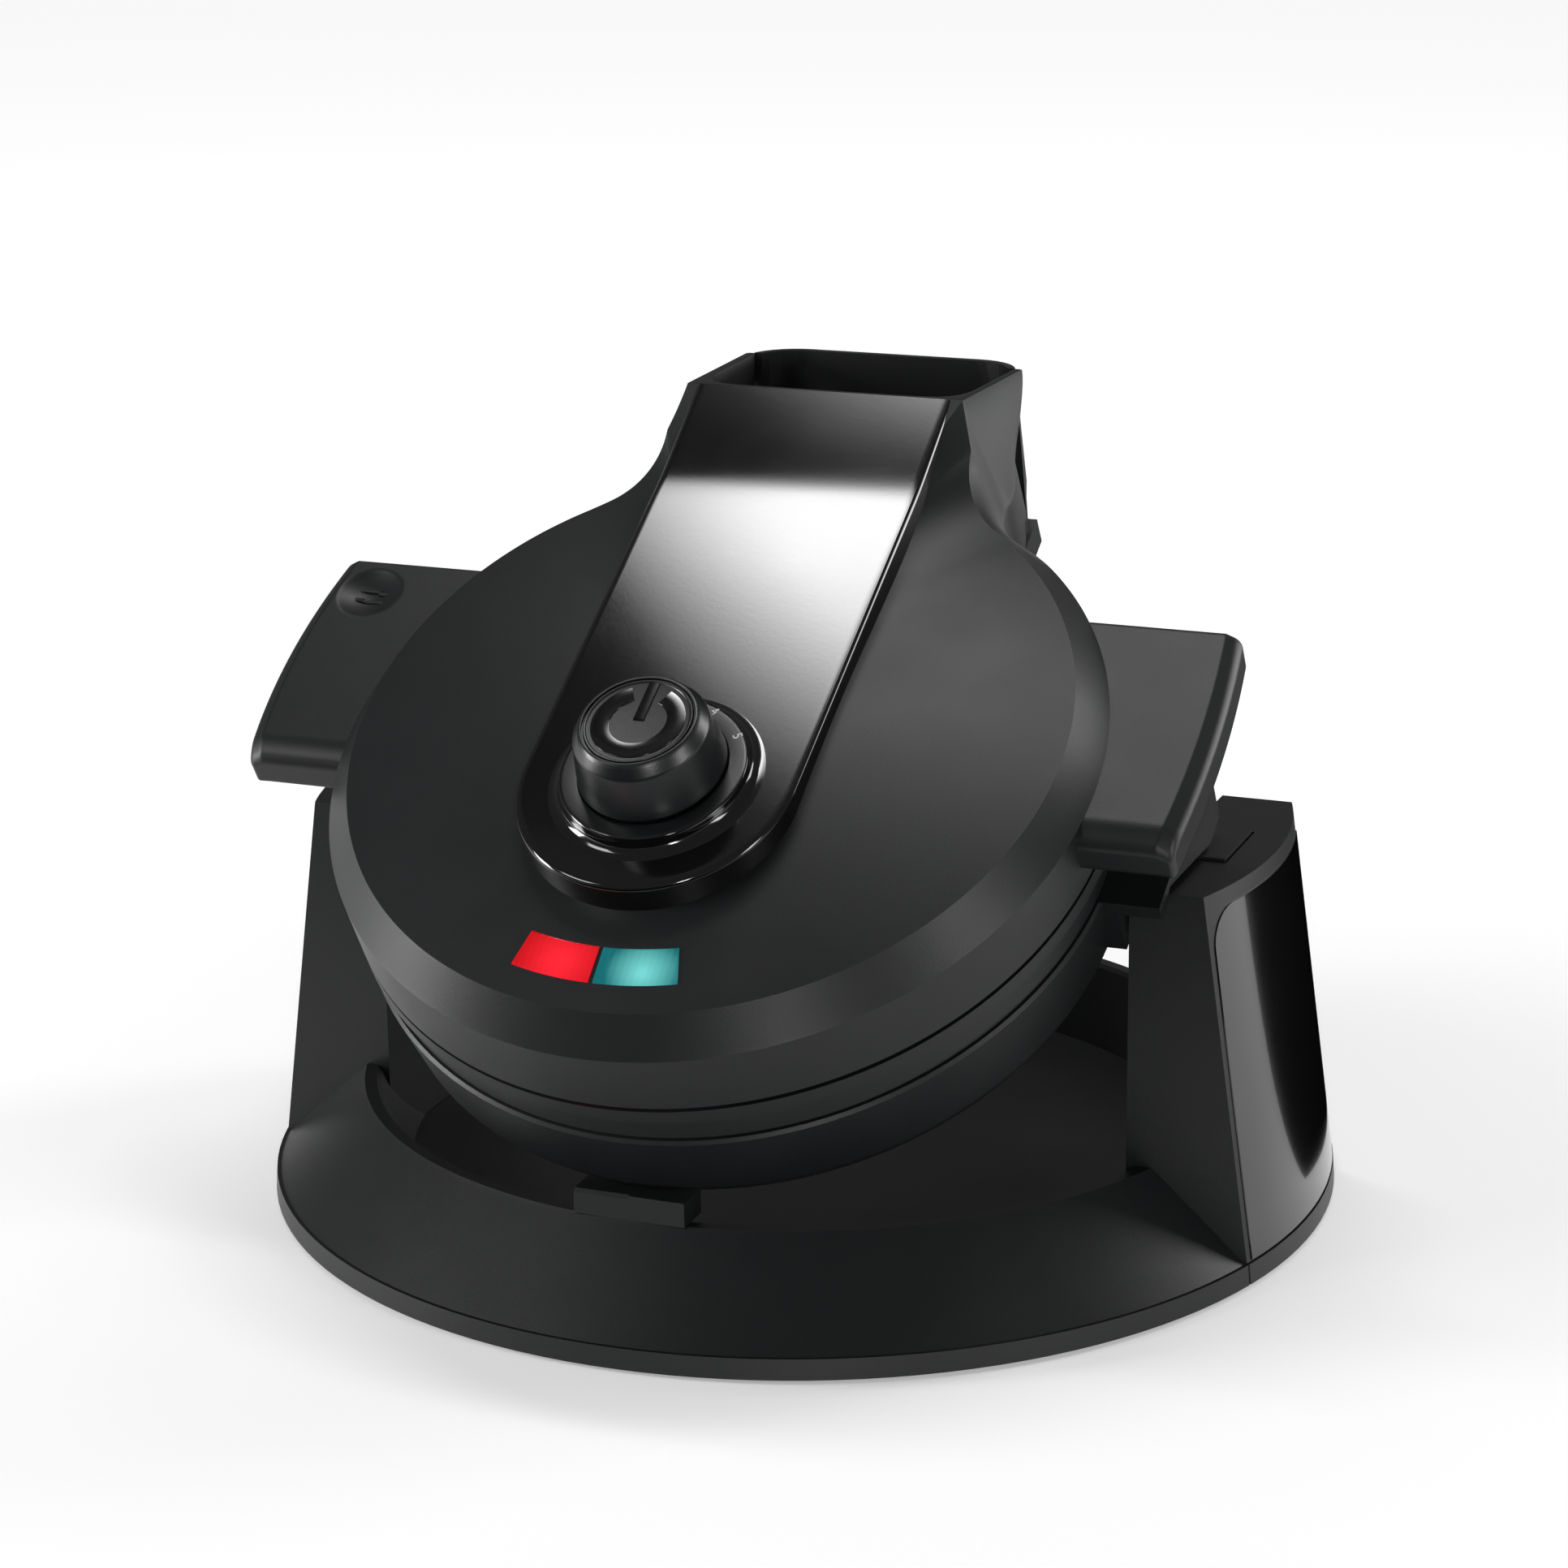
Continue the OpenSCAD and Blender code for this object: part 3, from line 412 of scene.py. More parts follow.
@dataclass
class Finishes:
    """Every finish of the machine, made once."""

    frame: BodyFrame
    satin: Any = field(init=False)
    panel_gloss: Any = field(init=False)
    strip_gloss: Any = field(init=False)
    inner: Any = field(init=False)
    knob: Any = field(init=False)
    rubber: Any = field(init=False)
    steel: Any = field(init=False)
    plate: Any = field(init=False)
    cream: Any = field(init=False)
    red: Any = field(init=False)
    green: Any = field(init=False)
    print_white: Any = field(init=False)

    def __post_init__(self) -> None:
        """Builds the materials."""
        black = (0.0042, 0.0047, 0.0053)
        soft = (0.0078, 0.0086, 0.0096)
        jet = (0.002, 0.002, 0.002)
        jet_light = (0.004, 0.004, 0.0045)
        self.satin = MouldedPlastic(
            "satin_moulding", black, soft,
            rough=0.42, rough_swing=0.07, grain_scale=2600.0, grain=0.2, specular=0.4,
        ).build()
        self.knob = MouldedPlastic(
            "knob_moulding", black, soft,
            rough=0.3, rough_swing=0.06, grain_scale=2200.0, grain=0.16,
        ).build()
        self.panel_gloss = MouldedPlastic(
            "panel_polish", jet, jet_light,
            rough=0.15, rough_swing=0.03, grain_scale=900.0, grain=0.03, coat=0.6,
        ).build()
        self.strip_gloss = MouldedPlastic(
            "strip_polish", jet, jet_light,
            rough=0.1, rough_swing=0.03, grain_scale=900.0, grain=0.03, coat=0.4,
        ).build()
        self.inner = MouldedPlastic(
            "spout_lining", black, soft,
            rough=0.22, rough_swing=0.05, grain_scale=1200.0, grain=0.08,
        ).build()
        self.rubber = PlainCoat(
            "foot_rubber", (0.008, 0.008, 0.008), (0.016, 0.016, 0.016),
            rough=0.75, grain_scale=1800.0,
        ).build()
        self.steel = Metal(
            "drawn_steel", (0.4, 0.41, 0.43), (0.66, 0.67, 0.69),
            metallic=1.0, rough=0.32, scratch_scale=900.0, cast=0.1,
        ).build()
        self.plate = Metal(
            "nonstick_coat", (0.018, 0.018, 0.019), (0.04, 0.04, 0.042),
            metallic=0.25, rough=0.42, scratch_scale=1500.0, cast=0.8,
        ).build()
        self.cream = PlainCoat(
            "heatproof_cream", (0.6, 0.57, 0.48), (0.72, 0.69, 0.6),
            rough=0.5, grain_scale=1300.0,
        ).build()
        self.red = LitLens(
            "red_window", (0.36, 0.0, 0.003), (1.0, 0.02, 0.04),
            glow=0.8, lamp_at=self.frame.point(-9.0, -79.5, 2.5), reach=0.011,
        ).build()
        self.green = LitLens(
            "sea_green_window", (0.0, 0.09, 0.1), (0.25, 0.85, 0.8),
            glow=0.75, lamp_at=self.frame.point(12.0, -80.0, 2.5), reach=0.0095,
        ).build()
        self.print_white = PlainCoat(
            "printed_white", (0.75, 0.75, 0.75), (0.85, 0.85, 0.85),
            rough=0.45, grain_scale=900.0,
        ).build()

    def of_slot(self, slot: str) -> Any:
        """The finish that a record slot gives a CAD node."""
        return {
            Slot.SATIN.value: self.satin,
            Slot.GLOSS.value: self.panel_gloss,
            Slot.RUBBER.value: self.rubber,
            Slot.STEEL.value: self.steel,
            Slot.PLATE.value: self.plate,
            Slot.CREAM.value: self.cream,
            Slot.RED.value: self.red,
            Slot.GREEN.value: self.green,
        }[slot]


# ---------------------------------------- shapes


def smooth(t: np.ndarray) -> np.ndarray:
    """Eases from nought to one with level ends: 3 t squared minus 2 t cubed."""
    t = np.clip(t, 0.0, 1.0)
    return t * t * (3.0 - 2.0 * t)


def resample(line: np.ndarray, count: int) -> np.ndarray:
    """Spaces points evenly along a line.

    Args:
        line: Points, n by k.
        count: How many to return.

    Returns:
        The points, count by k.
    """
    steps = np.linalg.norm(np.diff(line, axis=0), axis=1)
    along = np.concatenate([[0.0], np.cumsum(steps)])
    want = np.linspace(0.0, along[-1], count)
    return np.stack([np.interp(want, along, line[:, k]) for k in range(line.shape[1])], 1)


def arc(centre: Sequence[float], radius: float, start: float, end: float, count: int) -> np.ndarray:
    """Points of a plane arc; angles are in degrees from +X."""
    a = np.radians(np.linspace(start, end, count))
    return np.stack([centre[0] + radius * np.cos(a), centre[1] + radius * np.sin(a)], 1)


def place_data(name: str, data: Any) -> Any:
    """Puts a mesh, curve, light or camera in the scene at the origin, as a named object."""
    made = bpy.data.objects.new(name, data)
    bpy.context.scene.collection.objects.link(made)
    return made


class Sheets:
    """Collects grids of points and turns them into one mesh piece."""

    def __init__(self) -> None:
        """Starts empty."""
        self.points: list[np.ndarray] = []
        self.faces: list[np.ndarray] = []
        self.count = 0

    def grid(self, rows: np.ndarray, closed: bool = False, flip: bool = False) -> "Sheets":
        """Adds a grid of quads.

        Args:
            rows: Points, rows by columns by 3.
            closed: Whether the last column joins the first.
            flip: Whether to turn the faces over.

        Returns:
            This collection.
        """
        n, m = rows.shape[:2]
        index = np.arange(n * m).reshape(n, m) + self.count
        if closed:
            index = np.concatenate([index, index[:, :1]], 1)
        a, b = index[:-1, :-1], index[:-1, 1:]
        c, d = index[1:, 1:], index[1:, :-1]
        order = (a, d, c, b) if flip else (a, b, c, d)
        self.faces.append(np.stack([x.ravel() for x in order], 1))
        self.points.append(rows.reshape(-1, 3))
        self.count += n * m
        return self

    def piece(self, name: str, frame: BodyFrame | None, crease_deg: float = 40.0) -> Any:
        """Makes the mesh object.

        Args:
            name: The piece's name.
            frame: The frame that the points are in; None for the row frame in millimetres.
            crease_deg: Edges sharper than this stay sharp.

        Returns:
            The Blender object, at the origin.
        """
        points = np.concatenate(self.points)
        points = frame.world(points) if frame else points * MM
        mesh = bpy.data.meshes.new(name)
        mesh.from_pydata(points.tolist(), [], np.concatenate(self.faces).tolist())
        made = place_data(name, mesh)
        work = bmesh.new()
        work.from_mesh(mesh)
        bmesh.ops.remove_doubles(work, verts=work.verts, dist=WELD_GAP * MM)
        bmesh.ops.dissolve_degenerate(work, edges=work.edges, dist=SHORTEST_EDGE * MM)
        for edge in work.edges:
            if len(edge.link_faces) == 2:
                edge.smooth = edge.calc_face_angle(0.0) < math.radians(crease_deg)
        for face in work.faces:
            face.smooth = True
        work.to_mesh(mesh)
        work.free()
        mesh.update()
        return made


def revolve(profile: np.ndarray, centre: Sequence[float], count: int = 160) -> np.ndarray:
    """Turns a profile about an axis along w.

    Args:
        profile: Points, n by 2, of radius and height.
        centre: The axis's place across and along.
        count: Points round the circle.

    Returns:
        The grid, n by count by 3.
    """
    a = np.linspace(0.0, 2.0 * math.pi, count, endpoint=False)
    r, h = profile[:, :1], profile[:, 1:]
    u = centre[0] + r * np.cos(a)
    v = centre[1] + r * np.sin(a)
    return np.stack([u, v, np.broadcast_to(h, u.shape)], 2)


def rounded(
    profile: Sequence[Sequence[float]], radii: Sequence[float], steps: int = 5
) -> np.ndarray:
    """Rounds the corners of an open line with quadratic curves.

    Args:
        profile: The corner points.
        radii: How far from each corner its curve starts; nought keeps it sharp.
        steps: Points on each curve.

    Returns:
        The rounded line.
    """
    pts = [np.array(p, float) for p in profile]
    out = [pts[0]]
    t = np.linspace(0.0, 1.0, steps)[:, None]
    for before, here, after, reach in zip(pts[:-2], pts[1:-1], pts[2:], radii[1:-1]):
        if reach <= 0:
            out.append(here)
            continue
        back = before - here
        ahead = after - here
        start = here + back * min(reach / np.linalg.norm(back), 0.5)
        end = here + ahead * min(reach / np.linalg.norm(ahead), 0.5)
        out.extend((1 - t) ** 2 * start + 2 * t * (1 - t) * here + t**2 * end)
    out.append(pts[-1])
    return np.array(out)


def dress(piece: Any, material: Any, body: Body, slot: Slot, *replaced: str) -> Any:
    """Gives a new piece its material and its body, and hides the CAD nodes it stands for."""
    piece.data.materials.clear()
    piece.data.materials.append(material)
    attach(piece, body.value)
    if replaced:
        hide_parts(*replaced)
    log.info("%s rides on %s", piece.name, body.value)
    return piece


@dataclass
class Lid:
    """The lid moulding: dome, bevel ring, wall and the spout's neck, swept as one skin."""

    frame: BodyFrame
    face_r: float = 91.3
    bevel_r: float = 97.7
    wall_r: float = 98.35
    bevel_h: float = 8.2
    groove_d: float = 26.2
    dome_h: float = 9.5
    crease_half: float = 42.0
    crease_fillet: float = 25.0
    neck_half: float = 46.0
    neck_fillet: float = 28.0
    rim_half: float = 38.0
    rim_v: float = 105.3
    rim_w: float = 15.2
    rim_depth: float = 54.5
    seam_s: float = 44.7
    wall_t: float = 2.4
    rim_spread: float = 1.2
    rise_lead: float = 6.0
    skirt_half: float = 45.4
    skirt_turn_v: float = 103.0
    skirt_back_v: float = 122.0
    skirt_pull: float = 4.2
    sink_v: float = 70.0
    sink_length: float = 45.0
    sink_d: float = 12.0
    neck_foot_d: float = 13.2
    mouth_foot_v: tuple[float, float] = (101.0, 123.0)
    mouth_foot_w: float = -30.0
    per_side: int = 220
    rim_points: int = 40

    def rim_point(self, across: float | np.ndarray, along: float | np.ndarray) -> np.ndarray:
        """A point of the rim's plane, across and back along it."""
        t = math.radians(self.frame.tilt_deg)
        along = np.asarray(along, float)
        across = np.broadcast_to(np.asarray(across, float), along.shape)
        return np.stack(
            [across, self.rim_v + along * math.cos(t), self.rim_w - along * math.sin(t)], -1
        )

    def outline(
        self, radius: float, half: float, fillet: float, end: Sequence[float]
    ) -> np.ndarray:
        """The plan line from the front of the circle round to the neck.

        Args:
            radius: The circle's radius.
            half: The neck's half width.
            fillet: The radius of the hollow curve between them.
            end: Where the neck's side ends.

        Returns:
            Points, n by 2, evenly spaced.
        """
        cu = half + fillet
        cv = math.sqrt((radius + fillet) ** 2 - cu * cu)
        turn = math.degrees(math.atan2(cv, cu))
        front = arc((0.0, 0.0), radius, -90.0, turn, 200)
        hollow = arc((cu, cv), fillet, 180.0 + turn, 180.0, 40)
        return np.concatenate([front, hollow[1:], [list(end)]])

    def crease(self) -> np.ndarray:
        """The edge between the face and the bevel, rising up the neck to the rim's corner.

        The rise is a sum of two powers of the share of the way from the circle's end, where it
        starts a little early, to the rim.

        Returns:
            Points, n by 3.
        """
        plan = resample(
            self.outline(
                self.face_r, self.crease_half, self.crease_fillet, (self.rim_half, self.rim_v)
            ),
            self.per_side,
        )
        steps = np.linalg.norm(np.diff(plan, axis=0), axis=1)
        along = np.concatenate([[0.0], np.cumsum(steps)])
        cu = self.crease_half + self.crease_fillet
        cv = math.sqrt((self.face_r + self.crease_fillet) ** 2 - cu * cu)
        circle = self.face_r * (math.atan2(cv, cu) + math.pi / 2)
        start = circle - self.rise_lead
        t = np.clip((along - start) / (along[-1] - start), 0.0, 1.0)
        lift = self.rim_w * (0.55 * t**1.6 + 0.45 * t**3)
        return np.concatenate([plan, lift[:, None]], 1)

    def face(self) -> np.ndarray:
        """The domed face, from its middle out to the crease and the rim's front edge.

        The height falls from the middle to the edge with the square of the share of the way out,
        and with a higher power towards the spout.
        """
        edge = self.crease()
        across = np.linspace(self.rim_half, 0.0, self.rim_points)[1:]
        front = np.stack(
            [across, np.full(len(across), self.rim_v), np.full(len(across), self.rim_w)], 1
        )
        half = np.concatenate([edge, front])
        whole = np.concatenate([half, half[-2:0:-1] * [-1, 1, 1]])
        share = np.linspace(0.0, 1.0, 46) ** 0.9
        power = 2.0 + 1.6 * smooth((whole[:, 1] - 60.0) / 40.0)
        rho = share[:, None]
        height = whole[:, 2] + (self.dome_h - whole[:, 2]) * (1.0 - rho**power)
        flat = rho[..., None] * whole[None, :, :2]
        return np.concatenate([flat, height[..., None]], 2)

    def skirt(self) -> np.ndarray:
        """The bevel ring and wall, and the neck's side up to the seam.

        Each column runs from the crease or the rim's side edge down to the groove. Towards the
        spout the bevel's lower edge sinks and its line hollows, so that the side flares.
        """
        edge = self.crease()
        back = np.linspace(0.0, 1.0, self.rim_points)[1:]
        side = self.rim_point(self.rim_half + self.rim_spread * back, self.seam_s * back)
        top = np.concatenate([edge, side])
        half, turn_v = self.skirt_half, self.skirt_turn_v
        low = resample(
            self.outline(self.bevel_r, half, self.neck_fillet, (half, turn_v)), self.per_side
        )
        low_v = turn_v + (self.skirt_back_v - turn_v) * back
        low_side = np.stack([half - self.skirt_pull * back**1.6, low_v], 1)
        plan = np.concatenate([low, low_side])
        sink = smooth((plan[:, 1] - self.sink_v) / self.sink_length)
        depth = -self.bevel_h - sink * self.sink_d
        base = np.concatenate([plan, depth[:, None]], 1)
        rows = []
        shares = np.concatenate([[0.0, 0.03, 0.06], np.linspace(0.1, 0.94, 18), [0.97, 1.0]])
        for share in shares:
            out = share ** (1.0 + 0.9 * sink)
            spot = top + (base - top) * share
            spot[:, :2] = top[:, :2] + (base[:, :2] - top[:, :2]) * out[:, None]
            rows.append(spot)
        wall_plan = plan * ((self.wall_r / self.bevel_r - 1.0) * (1.0 - sink)[:, None] + 1.0)
        for drop in (0.8, 3.0, 9.0):
            rows.append(np.concatenate([wall_plan, (depth - drop)[:, None]], 1))
        neck_foot = -self.groove_d - self.neck_foot_d * smooth(sink * 4.0)
        foot = np.where(sink > 0.02, neck_foot, -self.groove_d)
        rows.append(np.concatenate([wall_plan, foot[:, None]], 1))
        return np.array(rows)

    def mouth(self) -> tuple[np.ndarray, np.ndarray]:
        """The rim's top face and the spout's inner wall in front of the seam.

        Returns:
            The two grids.
        """
        half, t, end = self.rim_half, self.wall_t, self.seam_s
        wide = half + self.rim_spread
        outer = rounded(
            [(wide, end), (half, 0.0), (-half, 0.0), (-wide, end)], [0, 1.2, 1.2, 0], 8
        )
        inner = rounded(
            [(wide - t, end), (half - t, t), (-half + t, t), (-wide + t, end)],
            [0, 13.0, 13.0, 0],
            16,
        )
        outer, inner = resample(outer, 120), resample(inner, 120)
        rows = []
        rim_normal = np.array([0.52, 0.853])
        crown = ((0.0, 0.5), (0.06, 0.15), (0.2, 0.0), (0.8, 0.0), (0.94, 0.15), (1.0, 0.5))
        for share, drop in crown:
            flat = outer + (inner - outer) * share
            spot = self.rim_point(flat[:, 0], flat[:, 1])
            spot[:, 1:] -= drop * rim_normal
            rows.append(spot)
        rim = np.array(rows)
        wall = []
        start = rows[-1]
        foot = start.copy()
        foot[:, 0] *= 0.98
        front_v, back_v = self.mouth_foot_v
        foot[:, 1] = front_v + (inner[:, 1] - t) / (end - t) * (back_v - front_v)
        foot[:, 2] = self.mouth_foot_w
        for share in np.linspace(0.0, 1.0, 14):
            wall.append(start + (foot - start) * share)
        return rim, np.array(wall)

    def build(self, finishes: Finishes) -> None:
        """Builds the skin and dresses it.

        Args:
            finishes: The machine's finishes.
        """
        sheets = Sheets()
        sheets.grid(self.face(), closed=True)
        skirt = self.skirt()
        sheets.grid(skirt, flip=True)
        sheets.grid(skirt * [-1, 1, 1])
        rim, wall = self.mouth()
        sheets.grid(rim)
        sheets.grid(wall)
        piece = sheets.piece("lid_moulding", self.frame, 28.0)
        dress(piece, finishes.satin, Body.LID, Slot.SATIN, "lid_shell")


@dataclass
class ControlStrip:
    """The polished raised strip from the lid's front to the spout's rim."""

    frame: BodyFrame
    half: float = 35.2
    centre_v: float = -29.0
    top_w: float = 12.7
    bend_v: float = 73.0
    bend_soft: float = 2.2
    end_v: float = 105.0
    end_w: float = 15.6
    edge_r: float = 1.4
    side_h: float = 12.0
    side_points: int = 150

    def past_bend(self, v: np.ndarray | float) -> np.ndarray:
        """Distance past the bend, softened so that both straight parts meet in a short curve.

        It is the softness times the logarithm of one plus the exponential of the distance over
        the softness.
        """
        return self.bend_soft * np.log1p(np.exp((v - self.bend_v) / self.bend_soft))

    def top(self, v: np.ndarray) -> np.ndarray:
        """Height along the strip: level, then rising evenly to the rim past the bend."""
        rise = self.end_w - self.top_w
        return self.top_w + rise * self.past_bend(v) / self.past_bend(self.end_v)

    def build(self, finishes: Finishes) -> None:
        """Builds the strip: rings that follow its outline inward from the wall's foot.

        Args:
            finishes: The machine's finishes.
        """
        front = arc((0.0, self.centre_v), self.half, -90.0, 0.0, 60)
        along = np.linspace(self.centre_v, self.end_v, self.side_points)[1:]
        side = np.stack([np.full(len(along), self.half), along], 1)
        edge = np.concatenate([front, side])
        spine = np.stack([np.zeros(len(edge)), np.maximum(edge[:, 1], self.centre_v)], 1)
        r = self.edge_r
        turns = np.linspace(0.15, 1.57, 6)
        rings = [(0.0, self.side_h), (0.0, r)]
        rings += [(r * (1 - math.cos(a)), r * (1 - math.sin(a))) for a in turns]
        rows = []
        for inset, drop in rings:
            plan = spine + (edge - spine) * (1.0 - inset / self.half)
            low = self.top(plan[:, 1]) - drop
            rows.append(np.concatenate([plan, low[:, None]], 1))
        for share in np.linspace(0.93, 0.0, 16):
            plan = spine + (edge - spine) * share
            rows.append(np.concatenate([plan, self.top(plan[:, 1])[:, None]], 1))
        grid = np.array(rows)
        sheets = Sheets()
        sheets.grid(grid, flip=True)
        sheets.grid(grid * [-1, 1, 1])
        piece = sheets.piece("control_strip_skin", self.frame, 50.0)
        dress(piece, finishes.strip_gloss, Body.LID, Slot.GLOSS, "control_strip")


@dataclass
class Dial:
    """The collar with its digits, and the knob with the mark in its top."""

    frame: BodyFrame
    centre_v: float = -29.0
    strip_w: float = 12.7
    flat_w: float = 16.5
    knob_w: float = 17.3
    knob_h: float = 15.3
    knob_r: float = 18.4
    knob_top_r: float = 16.7
    flat_r: float = 22.8
    flare_w: float = 3.4
    digit_r: float = 21.4
    digit_size: float = 3.51
    print_t: float = 0.02
    print_gap: float = 0.03
    ring_deg: tuple[float, float] = (116.0, 424.0)
    ring_r: tuple[float, float] = (7.0, 11.6)
    bar_half: float = 1.4
    first_deg: float = 153.0
    step_deg: float = -29.5

    def turned(self, name: str, profile: np.ndarray, crease_deg: float) -> Any:
        """Turns a profile about the dial's axis into a piece."""
        sheets = Sheets()
        sheets.grid(revolve(profile, (0.0, self.centre_v)), closed=True, flip=True)
        return sheets.piece(name, self.frame, crease_deg)

    def collar(self, finishes: Finishes) -> None:
        """Turns the collar: a satin ring for the digits, then a polished flare to the strip."""
        r, w, s = self.flat_r, self.flat_w, self.strip_w
        flare = [
            (r + 0.5 + self.flare_w * t**1.7, w - 0.9 - (w - 0.9 - s) * (1 - (1 - t) ** 1.7))
            for t in np.linspace(0.0, 1.0, 12)
        ]
        lip = [(r, w), (r + 0.3, w - 0.2), flare[0]]
        profile = np.concatenate([rounded(lip, [0, 0.2, 0]), flare[1:]])
        piece = self.turned("dial_flare", profile, 50.0)
        dress(piece, finishes.strip_gloss, Body.LID, Slot.GLOSS, "dial_collar")
        face = rounded(
            [(14.0, s - 3.0), (14.0, w - 1.0), (self.knob_r - 0.6, w - 1.0),
             (self.knob_r + 0.2, w), (r - 0.4, w), (r, w - 0.15)],
            [0, 0.1, 0.2, 0.2, 0.3, 0],
        )
        piece = self.turned("dial_face", face, 50.0)
        dress(piece, finishes.knob, Body.LID, Slot.SATIN)

    def digits(self, finishes: Finishes) -> None:
        """Prints one to five on the collar, each with its top away from the dial's middle."""
        for number in range(1, 6):
            angle = self.first_deg + self.step_deg * (number - 1)
            curve = bpy.data.curves.new(f"digit_{number}_print", "FONT")
            curve.body = str(number)
            curve.size = self.digit_size * MM
            curve.align_x = "CENTER"
            curve.align_y = "CENTER"
            curve.extrude = self.print_t * MM
            curve.resolution_u = 6
            letter = place_data("temporary_digit", curve)
            bpy.context.view_layer.update()
            mesh = bpy.data.meshes.new_from_object(letter)
            bpy.data.objects.remove(letter)
            spot = np.array([v.co for v in mesh.vertices], float) / MM
            a = math.radians(angle)
            turn = a - math.pi / 2
            u = spot[:, 0] * math.cos(turn) - spot[:, 1] * math.sin(turn)
            v = spot[:, 0] * math.sin(turn) + spot[:, 1] * math.cos(turn)
            u += self.digit_r * math.cos(a)
            v += self.digit_r * math.sin(a) + self.centre_v
            w = spot[:, 2] + self.flat_w + self.print_gap
            place = self.frame.world(np.stack([u, v, w], 1))
            mesh.vertices.foreach_set("co", place.astype(np.float32).ravel())
            mesh.name = f"digit_{number}"
            piece = place_data(f"digit_{number}", mesh)
            dress(piece, finishes.print_white, Body.LID, Slot.GLOSS)

    def knob(self, finishes: Finishes) -> None:
        """Turns the knob: a side that narrows upwards, a bevel and a grooved top."""
        r, t, w, h = self.knob_r, self.knob_top_r, self.knob_w, self.knob_h
        profile = rounded(
            [(3.0, w), (r, w), (r - 0.1, w + 0.8), (t, w + h - 3.2), (t - 1.7, w + h - 0.6),
             (t - 2.3, w + h), (t - 2.9, w + h), (t - 2.9, w + h - 0.7), (t - 3.3, w + h - 0.7),
             (t - 3.3, w + h - 1.6)],
            [0, 0.3, 0.5, 0.5, 0.5, 0.2, 0.1, 0.1, 0.1, 0],
        )
        piece = self.turned("knob_skin", profile, 35.0)
        dress(piece, finishes.knob, Body.KNOB, Slot.SATIN, "knob")

    def cap(self, finishes: Finishes) -> None:
        """Makes the knob's disc, a shallow dish, and the mark on it."""
        top = self.knob_w + self.knob_h - 0.1
        disc_r = self.knob_top_r - 3.4
        profile = rounded(
            [(disc_r, top - 1.5), (disc_r, top), (disc_r - 0.5, top - 0.05),
             (disc_r - 0.8, top - 0.35), (0.01, top - 0.35)],
            [0, 0.2, 0.1, 0.1, 0],
        )
        piece = self.turned("knob_disc", profile, 35.0)
        dress(piece, finishes.knob, Body.KNOB, Slot.SATIN, "knob_cap")
        self.mark(finishes, top - 0.05, disc_r - 0.9)

    def mark(self, finishes: Finishes, level: float, reach_r: float) -> None:
        """Makes the mark on the disc: a broken ring with a pointer bar in its gap.

        Args:
            finishes: The machine's finishes.
            level: The height that the sections are given from.
            reach_r: Where the bar ends, from the dial's middle.
        """
        corner = [0, 0.15, 0.15, 0]
        sheets = Sheets()
        a = np.radians(np.linspace(*self.ring_deg, 90))
        inner, outer = self.ring_r
        ring = rounded([(outer, -0.4), (outer, -0.1), (inner, -0.1), (inner, -0.4)], corner)
        sheets.grid(np.array([
            np.stack([r * np.cos(a), r * np.sin(a) + self.centre_v, np.full(len(a), level + h)], 1)
            for r, h in ring
        ]), flip=True)
        half = self.bar_half
        bar = rounded([(-half, -0.4), (-half, 0.0), (half, 0.0), (half, -0.4)], corner)
        reach = np.linspace(0.5, reach_r, 6) + self.centre_v
        sheets.grid(np.array([
            np.stack([np.full(6, u), reach, np.full(6, level + h)], 1) for u, h in bar
        ]))
        mark = sheets.piece("knob_mark", self.frame, 35.0)
        dress(mark, finishes.strip_gloss, Body.KNOB, Slot.GLOSS)


def cube_face(x: np.ndarray, y: np.ndarray, axis: int, level: float) -> np.ndarray:
    """A grid on one face of the unit cube.

    Args:
        x: Places along the first free axis.
        y: Places along the second.
        axis: The axis that the face looks along.
        level: Where it lies on that axis.

    Returns:
        The points, len(x) by len(y) by 3.
    """
    gx, gy = np.meshgrid(x, y, indexing="ij")
    parts = [gx, gy]
    parts.insert(axis, np.full(gx.shape, level))
    return np.stack(parts, -1)


